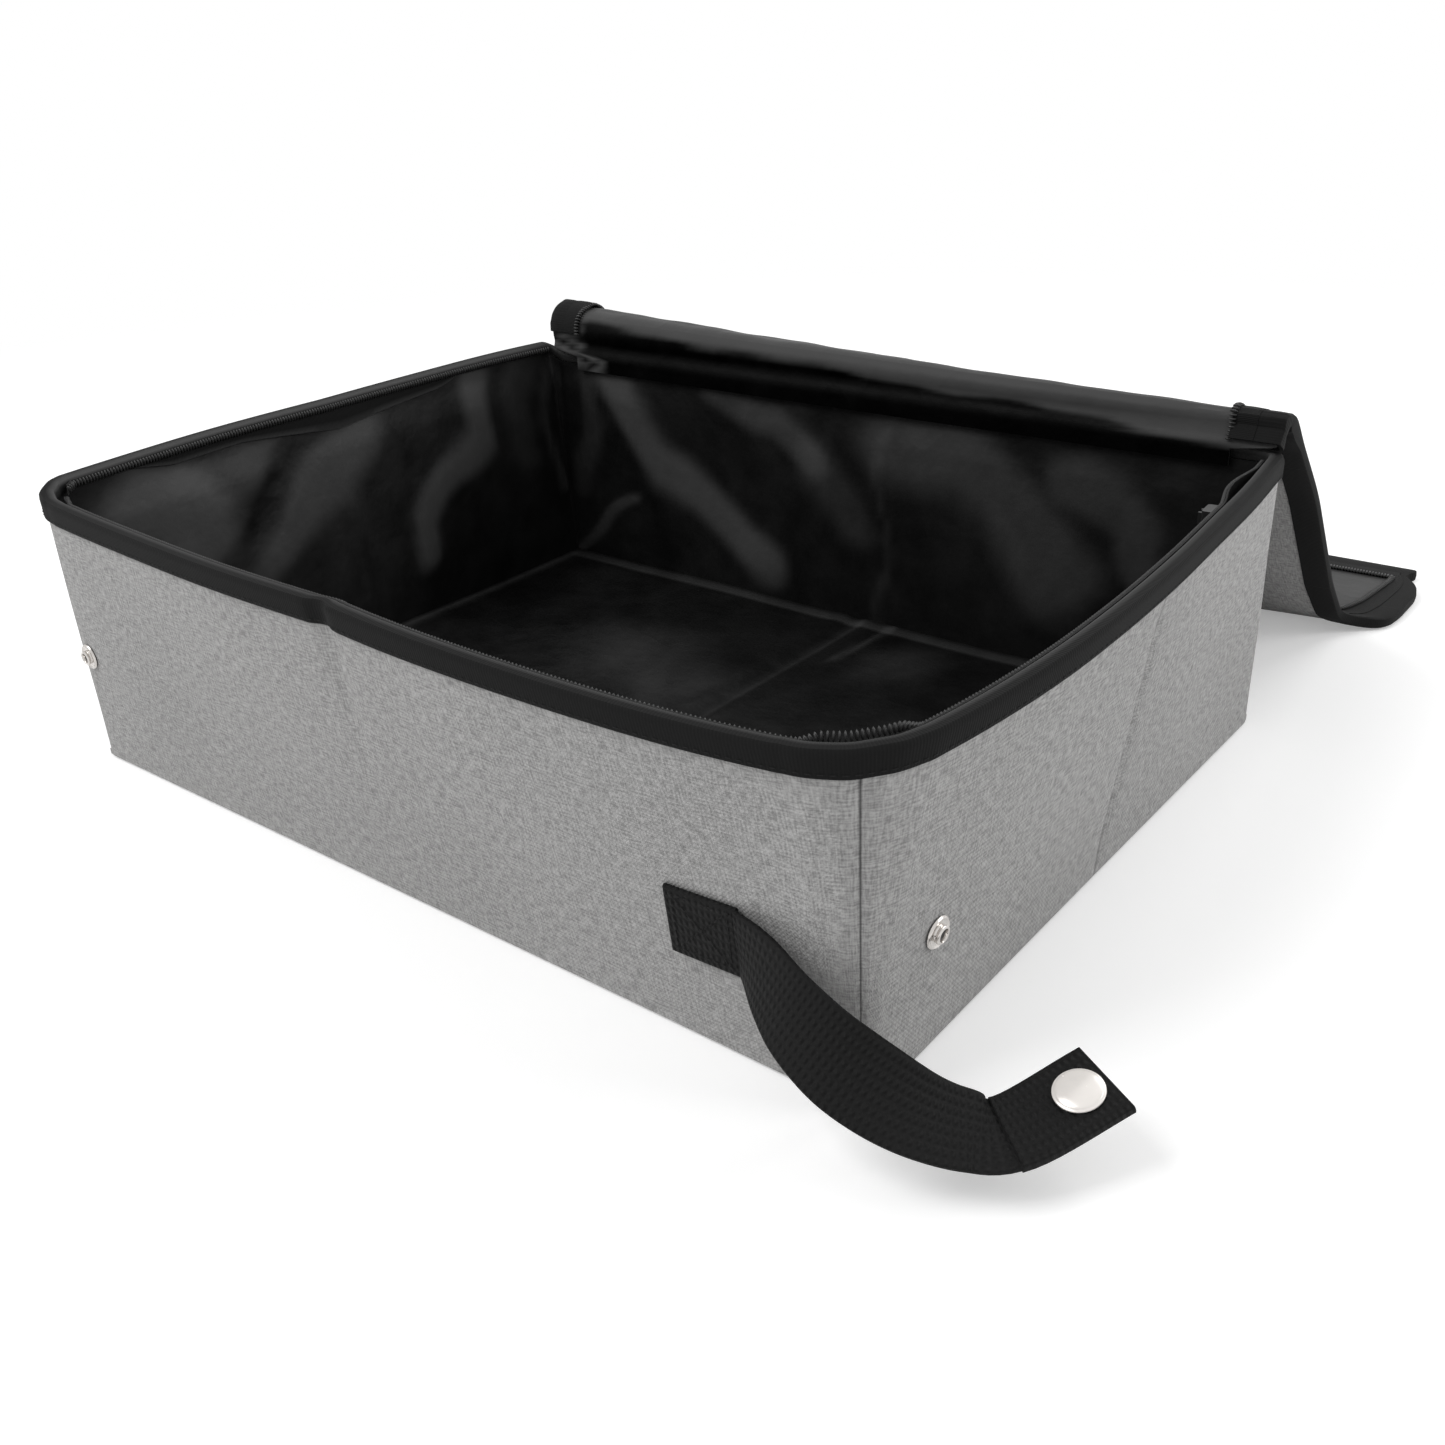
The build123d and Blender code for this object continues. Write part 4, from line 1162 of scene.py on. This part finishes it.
# %% Edge paths
CORNER, SMALLEST_CORNER = 7.0, 2.0
KNOB = 1.6
HALF_THICK = LID_THICK / 2
ROOT_EDGES = ((1, -4.8), (-1, 4.0))
HOOK = [(BOUND, 0.1), (BOUND, 0.7), (BOUND / 2, 0.85), (1.6, 0.75), (0.4, 0.1)]
LID_RING = [(-out, -HALF_THICK - rise) for out, rise in HOOK] + [(0.0, 0.0)]
LID_RING += [(-out, HALF_THICK + rise) for out, rise in reversed(HOOK)]
LID_RING += [(-1.8, HALF_THICK + 0.05), (-1.8, -HALF_THICK - 0.05)]
GROUND_RING = [(out, max(height, -HALF_THICK - 0.35)) for out, height in LID_RING]


def edge_path(section, inset):
    """Places (x, run) and outward ways along the lid's edge, one list for each side in a section."""
    start, end, _ = SECTIONS[section]
    half = LID_HALF - inset
    if section != "front":
        edges = ROOT_EDGES if section == "root" else ((-1, start), (1, start))
        edges = [(side, runs_between(first, end)) for side, first in edges]
        return [[((side * half, run), (side, 0.0)) for run in runs] for side, runs in edges]
    tip, radius = LID_RUN - inset, max(CORNER - inset, SMALLEST_CORNER)
    runs = runs_between(start, tip - radius, 5.0)
    path = [((-half, run), (-1.0, 0.0)) for run in runs]
    for side, first, last in ((-1, 180, 90), (1, 90, 0)):
        x, run = side * (half - radius), tip - radius
        for i in range(13):
            angle = math.radians(first + (last - first) * i / 12)
            way = (math.cos(angle), math.sin(angle))
            path.append(((x + radius * way[0], run + radius * way[1]), way))
        if side < 0:
            far = np.linspace(-half + radius + 6, half - radius - 6, 60)
            path += [((x, tip), (0.0, 1.0)) for x in far]
    return [path + [((half, run), (1.0, 0.0)) for run in reversed(runs)]]


def edge_sweep(name, section, inset, ring, material):
    """Carries a ring of (outward, height from the middle) points along the lid's edge."""
    made = []
    for number, path in enumerate(edge_path(section, inset)):
        rings = []
        for (x, run), way in path:
            middle = lid_thickness(run) / 2
            swell = middle - HALF_THICK + (KNOB * fold_bump(run - 23, 13) if x < 0 else 0.0)
            points = []
            for out, height in ring:
                height += math.copysign(swell, height) if abs(height) > 0.5 else 0.0
                points.append(lid_place(x + way[0] * out, run + way[1] * out, middle + height))
            rings.append(points)
        along = paced([points[0] for points in rings], path[0][0][1])
        made.append(ring_sweep(f"{name}_{section}_{number}", rings, along, paced(ring), material))
    return made


for section, (_, _, rides) in SECTIONS.items():
    ring = GROUND_RING if section == "front" else LID_RING
    for piece in edge_sweep("lid_binding", section, 0.0, ring, binding_tape):
        attach(piece, rides, "black_binding", *section_nodes(section, "binding"))
print("lid bound")

# %% Zip along the lid
TAPE_WIDE = 10.0
TAPE_INSET, TEETH_INSET, TEETH_RISE = BOUND - 1.0, BOUND + 9.0, 1.6
LID_TAPE = [(0.0, 0.3), (0.0, 1.0), (-TAPE_WIDE / 2, 1.15), (-TAPE_WIDE, 1.0)]
LID_TAPE += [(-TAPE_WIDE, 0.3), (-TAPE_WIDE / 2, 0.35)]
LID_TAPE = [(out, HALF_THICK + rise) for out, rise in LID_TAPE]
for section, (_, _, rides) in SECTIONS.items():
    for piece in edge_sweep("lid_zip_tape", section, TAPE_INSET, LID_TAPE, zip_tape):
        attach(piece, rides, "black_zip", *section_nodes(section, "zip"))
    for number, path in enumerate(edge_path(section, TEETH_INSET)):
        points = [lid_place(x, run, lid_thickness(run) + TEETH_RISE) for (x, run), _ in path]
        facings = [np.subtract(lid_place(*spot, 1.0), lid_place(*spot, 0.0)) for spot, _ in path]
        name = f"lid_teeth_{section}_{number}"
        teeth = beads_along(name, points, facings, TOOTH_PITCH, TOOTH, nylon_teeth)
        attach(teeth, rides, "black_zip")
print("lid zipped")

# %% [markdown]
# ## The strap
# The strap is one length of webbing, sewn flat to the front wall and free past its stitches, where
# it twists, drops and turns back on itself until the snap faces up. A few stations give its course
# and lean, and a smooth curve through them gives the rest.

# %% The strap's course
STRAP_WIDE, STRAP_THICK, FREE = 25.0, 1.6, 130.0
STRAP_START = np.array((158.0, -155.72, 46.0)) + (0.8, 0, 0)
# Each stop: how far along, out and down it lies, as shares of the free length, and its lean.
COURSE = [(0.0, 0.0, 0.0, -7.0), (0.10, -0.045, -0.015, 12), (0.20, -0.085, -0.050, 24)]
COURSE += [(0.30, -0.100, -0.092, 33), (0.39, -0.085, -0.140, 46), (0.485, -0.050, -0.190, 61)]
COURSE += [(0.57, 0.005, -0.230, 72), (0.645, 0.067, -0.243, 86), (0.755, 0.258, -0.185, 86)]


def smooth_through(stops, count):
    """Points on a smooth curve through stops, evenly many between each two."""
    padded = [2 * stops[0] - stops[1], *stops, 2 * stops[-1] - stops[-2]]
    found = []
    for p0, p1, p2, p3 in zip(padded, padded[1:], padded[2:], padded[3:]):
        for t in (k / count for k in range(count)):
            bend = (2 * p0 - 5 * p1 + 4 * p2 - p3) * t**2 + (3 * p1 - p0 - 3 * p2 + p3) * t**3
            found.append(0.5 * (2 * p1 + (p2 - p0) * t + bend))
    return found + [stops[-1]]


def strap_frames(course):
    """For each point of the course: its place, its width's direction and its thickness's direction."""
    frames = []
    for i, stop in enumerate(course):
        way = unit(course[min(i + 1, len(course) - 1)][:3] - course[max(i - 1, 0)][:3])
        left = unit(np.array((-way[1], way[0], 0.0)))
        lean = math.radians(stop[3])
        wide = np.cross(way, left) * math.cos(lean) + left * math.sin(lean)
        frames.append((stop[:3], wide, np.cross(wide, way)))
    return frames


stops = [np.append(STRAP_START + np.array(shares) * FREE, lean) for *shares, lean in COURSE]
course = smooth_through(stops, 8)
free_frames = strap_frames(course)
print("strap course has", len(course), "points and ends at", course[-1][:3].round(1))

# %% Webbing
SEWN_FROM, SEWN_TO, SEWN_LOW, SEWN_HIGH = 134.0, 159.2, 34.0, 58.0
SEWN_GAP = 0.35


def band(name, frames, wide, thick):
    """A band of webbing with soft edges, with many points across so that it can carry its ribs."""
    half, thin = wide / 2, thick / 2
    ring = [(float(a), thin) for a in np.linspace(-half + 0.6, half - 0.6, 11)]
    ring += [(half - 0.15, thin * 0.7), (half, 0.0), (half - 0.15, -thin * 0.7)]
    ring += [(a, -thin) for a, _ in ring[10::-1]]
    ring += [(-half + 0.15, -thin * 0.7), (-half, 0.0), (-half + 0.15, thin * 0.7)]
    rings = [[place + width * a + through * b for a, b in ring] for place, width, through in frames]
    along = paced([place for place, _, _ in frames])
    return ring_sweep(name, rings, along, [a for a, _ in ring], webbing)


sewn_frames = []
for x in np.linspace(SEWN_FROM, SEWN_TO, 12):
    rows = []
    for z in (SEWN_LOW, SEWN_HIGH):
        y = side_point(FRONT, x, (z - WALL_FOOT) / (RIM - WALL_FOOT))[1]
        rows.append(np.array((x, y, z)))
    wide = unit(rows[1] - rows[0])
    near = unit(side_point(FRONT, x + 2, 0.37) - side_point(FRONT, x - 2, 0.37))
    through = np.cross(wide, np.append(near, 0.0))
    through = -through if through[1] > 0 else through
    place = (rows[0] + rows[1]) / 2 + through * (STRAP_THICK / 2 + SEWN_GAP)
    sewn_frames.append((place, wide, through))
strap = band("strap_band", free_frames, STRAP_WIDE, STRAP_THICK)
attach(strap, "strap", "webbing", "strap_webbing")
hem = band("strap_hem", free_frames[-10:], STRAP_WIDE + 0.3, STRAP_THICK + 1.2)
attach(hem, "strap", "webbing")
sewn = band("strap_sewn_end", sewn_frames, STRAP_WIDE, STRAP_THICK)
attach(sewn, "front_wall", "webbing", "strap_anchor")
print("webbing", STRAP_WIDE, "mm wide")

# %% [markdown]
# The strap is held by a box of stitches with a cross in it. Each line is a path on the
# strap's face, so the same bead tree sews it.

# %% Box stitch
BOX_START, BOX_END, BOX_HALF = 0.1, 0.88, 10
BOX_PITCH, BOX_STITCH = 2.6, (2.1, 0.6, 0.5)


def on_sewn(along, across):
    """A point on the sewn end's face: 0 to 1 along it, and mm across it."""
    spot = along * (len(sewn_frames) - 1)
    low = min(int(spot), len(sewn_frames) - 2)
    share = spot - low
    lift = STRAP_THICK / 2 + 0.05
    first, second = (f[0] + f[1] * across + f[2] * lift for f in sewn_frames[low : low + 2])
    return first * (1 - share) + second * share


a, b, c, d = (BOX_START, -BOX_HALF), (BOX_END, -BOX_HALF), (BOX_END, BOX_HALF), (BOX_START, BOX_HALF)
lines = [(a, b), (b, c), (c, d), (d, a), (a, c), (d, b)]
for number, ((a0, c0), (a1, c1)) in enumerate(lines):
    spots = [on_sewn(a0 + (a1 - a0) * k / 12, c0 + (c1 - c0) * k / 12) for k in range(13)]
    facings = [sewn_frames[6][2]] * len(spots)
    stitch = beads_along(f"strap_stitch_{number}", spots, facings, BOX_PITCH, BOX_STITCH, black_thread)
    attach(stitch, "front_wall", "webbing")
print("box stitch has", len(lines), "lines")

# %% [markdown]
# ## The snaps
# The cap is a shallow nickel dome with a rolled edge, near white as a painted reflection, over a
# nickel socket, and the walls' studs are small nickel mushrooms with painted shade in their hollows.
# Each is turned about its own axis from a profile, as on a lathe.

# %% Snap cap
CAP_SETBACK, CAP_SEAT = 8.8, 1.5


def turned(name, centre, axis, profile, material, count=48):
    """A closed shape turned about an axis; its (radius, height) profile starts and ends on it."""
    axis = unit(axis)
    side = unit(np.cross(axis, (0.0, 0.0, 1.0) if abs(axis[2]) < 0.9 else (1.0, 0.0, 0.0)))
    other = np.cross(axis, side)
    points, faces = [], []
    body = profile[1:-1]
    for radius, height in body:
        for angle in (2 * math.pi * k / count for k in range(count)):
            spoke = side * math.cos(angle) + other * math.sin(angle)
            points.append(centre + axis * height + spoke * radius)
    edges = [(k, (k + 1) % count) for k in range(count)]
    end, hub = (len(body) - 1) * count, len(body) * count
    for i in range(0, end, count):
        faces += [(i + a, i + b, i + b + count, i + a + count) for a, b in edges]
    points += [centre + axis * height for _, height in (profile[0], profile[-1])]
    faces += [(hub, b, a) for a, b in edges] + [(hub + 1, end + a, end + b) for a, b in edges]
    return closed(make_mesh(name, points, faces, [material]), 50.0)


end_place, _, end_through = free_frames[-1]
cap_up = end_through if end_through[2] > 0 else -end_through
cap_middle = end_place - unit(course[-1][:3] - course[-4][:3]) * CAP_SETBACK
dome = [(0.0, CAP_SEAT), (6.6, CAP_SEAT)]
for a in np.linspace(0.3, 2.8, 7):
    dome.append((6.9 + 0.35 * math.sin(a), CAP_SEAT + 0.45 - 0.35 * math.cos(a)))
for a in np.linspace(0.12, 1.45, 12):
    dome.append((6.7 * math.cos(a), CAP_SEAT + 0.7 + 1.45 * math.sin(a)))
dome += [(0.0, CAP_SEAT + 2.15)]
socket = [(0.0, -1.2), (6.0, -1.2), (6.1, -1.5), (5.9, -2.1), (4.6, -2.5), (4.4, -4.0), (4.0, -4.3)]
socket += [(3.3, -4.3), (3.2, -4.0), (3.1, -2.0), (0.0, -2.0)]
attach(turned("snap_cap_dome", cap_middle, cap_up, dome, nickel_with_painted_reflection), "strap", "nickel", "snap_cap")
attach(turned("snap_socket_ring", cap_middle, cap_up, socket, nickel), "strap", "nickel", "snap_socket")
print("cap at", cap_middle.round(1))

# %% Press studs
STUD_PROFILE = [(0.0, 1.1), (1.9, 1.1), (1.95, 2.2), (2.2, 2.75), (2.7, 2.8), (3.15, 2.4)]
STUD_PROFILE += [(3.1, 1.9), (2.8, 1.5), (3.0, 0.9), (3.7, 0.75), (4.3, 0.9), (4.8, 1.25)]
STUD_PROFILE += [(5.25, 1.0), (5.45, 0.6), (5.3, 0.3), (0.0, 0.3)]
# A black disc set in the stud's hollow: painted shade.
STUD_HOLE_SHADE = [(0.0, 1.7), (1.85, 1.7), (1.85, 1.15), (0.0, 1.15)]
STUDS = {"front_stud": ("front_wall", 0, 0.0035, 50.0)}
STUDS |= {"side_stud": ("right_front_side", 2, 0.0735, 45.0)}
for node, (body, stretch, t, z) in STUDS.items():
    spot = np.array(wall_place(stretch, t, 0.0, z))
    upward = np.subtract(wall_place(stretch, t, 0.0, z + 3), wall_place(stretch, t, 0.0, z - 3))
    out = face_way(stretch, t, 0.4)
    outward = np.cross((-out[1], out[0], 0.0), upward)
    outward *= math.copysign(1.0, outward[:2] @ out) / np.linalg.norm(outward)
    attach(turned(f"{node}_ring", spot, outward, STUD_PROFILE, nickel), body, "nickel", node)
    # The hole piece is painted shade in the stud's hollow.
    attach(turned(f"{node}_hole", spot, outward, STUD_HOLE_SHADE, black_lacquer_and_hole_shade), body, "nickel")
    print(node, spot.round(1))

# %% [markdown]
# The rivets, the boards, the slider and its pull keep the frame's own shapes, so they only take
# their finishes.

# %% Carried-over pieces
CARRIED = {"rivet": nickel, "board": stiff_board}
CARRIED |= {"slider_body": black_lacquer_and_hole_shade, "pull_tab": black_lacquer_and_hole_shade}
carried = [(node, CARRIED[end]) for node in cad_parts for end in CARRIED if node.endswith(end)]
for node, finish in carried:
    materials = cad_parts[node].data.materials
    materials.clear()
    materials.append(finish)
print("carried over", len(carried), "pieces")

# %% [markdown]
# ## Ground, light and background
# The photograph's ground is plain white, so far from the tray the ground is white to the camera and
# in gloss, and so is the world. Light itself meets greyer ones, at a level where a colour looks as it
# is written. A large soft light from the front left and above, one from the right and one from
# behind give the walls their different greys.

# %% Studio
WHITE = (1.0, 1.0, 1.0, 1.0)
REACH, FLOOR_DROP = 6000.0, -0.6
GROUND_GREY, GROUND_GLOW, WORLD_LIGHT = (0.88, 0.88, 0.88, 1.0), 0.3, 0.45
ground = new_material("studio_floor", Roughness=0.9, Base_Color=GROUND_GREY, Emission_Color=WHITE)
seen = ground.seen()
ground.feed(Emission_Strength=seen * GROUND_GLOW)
far_x, far_y, _ = ground.parts(ground.object_place())
whiteness = ((far_x * far_x + far_y * far_y) ** 0.5).above(0.85, 0.35) * seen
glow = ground.node("ShaderNodeEmission", values={"Strength": 1.0})
ground.end_in_mix(whiteness, glow, "Material Output")
square = [(x * REACH, y * REACH, FLOOR_DROP) for x, y in ((-1, -1), (1, -1), (1, 1), (-1, 1))]
studio_floor = make_mesh("studio_floor", square, [(0, 1, 2, 3)], [ground.owner])
world = bpy.data.worlds.new("world")
bpy.context.scene.world = world
sky = Sheet(world, "Background", Color=WHITE, Strength=WORLD_LIGHT)
white = sky.node("ShaderNodeBackground", values={"Color": WHITE, "Strength": 1.0})
sky.end_in_mix(sky.seen(), white, "World Output")


def softbox(name, place, target, size, power):
    """A square area lamp aimed at a point."""
    lamp = bpy.data.lights.new(name, "AREA")
    lamp.shape, lamp.size, lamp.energy = "SQUARE", size, power
    piece = add_object(name, lamp)
    piece.rotation_euler = (Vector(target) - Vector(place)).to_track_quat("-Z", "Y").to_euler()
    piece.location = place


softbox("key", (-0.9, -1.2, 1.8), (0, 0, 0.05), 1.2, 29.0)
softbox("fill", (1.9, 1.2, 1.0), (0, 0, 0.05), 1.1, 16.0)
softbox("rim", (0.4, 1.9, 1.6), (0, 0.1, 0.1), 1.2, 14.0)
bpy.context.scene.view_settings.view_transform = "Standard"
print("studio ready")
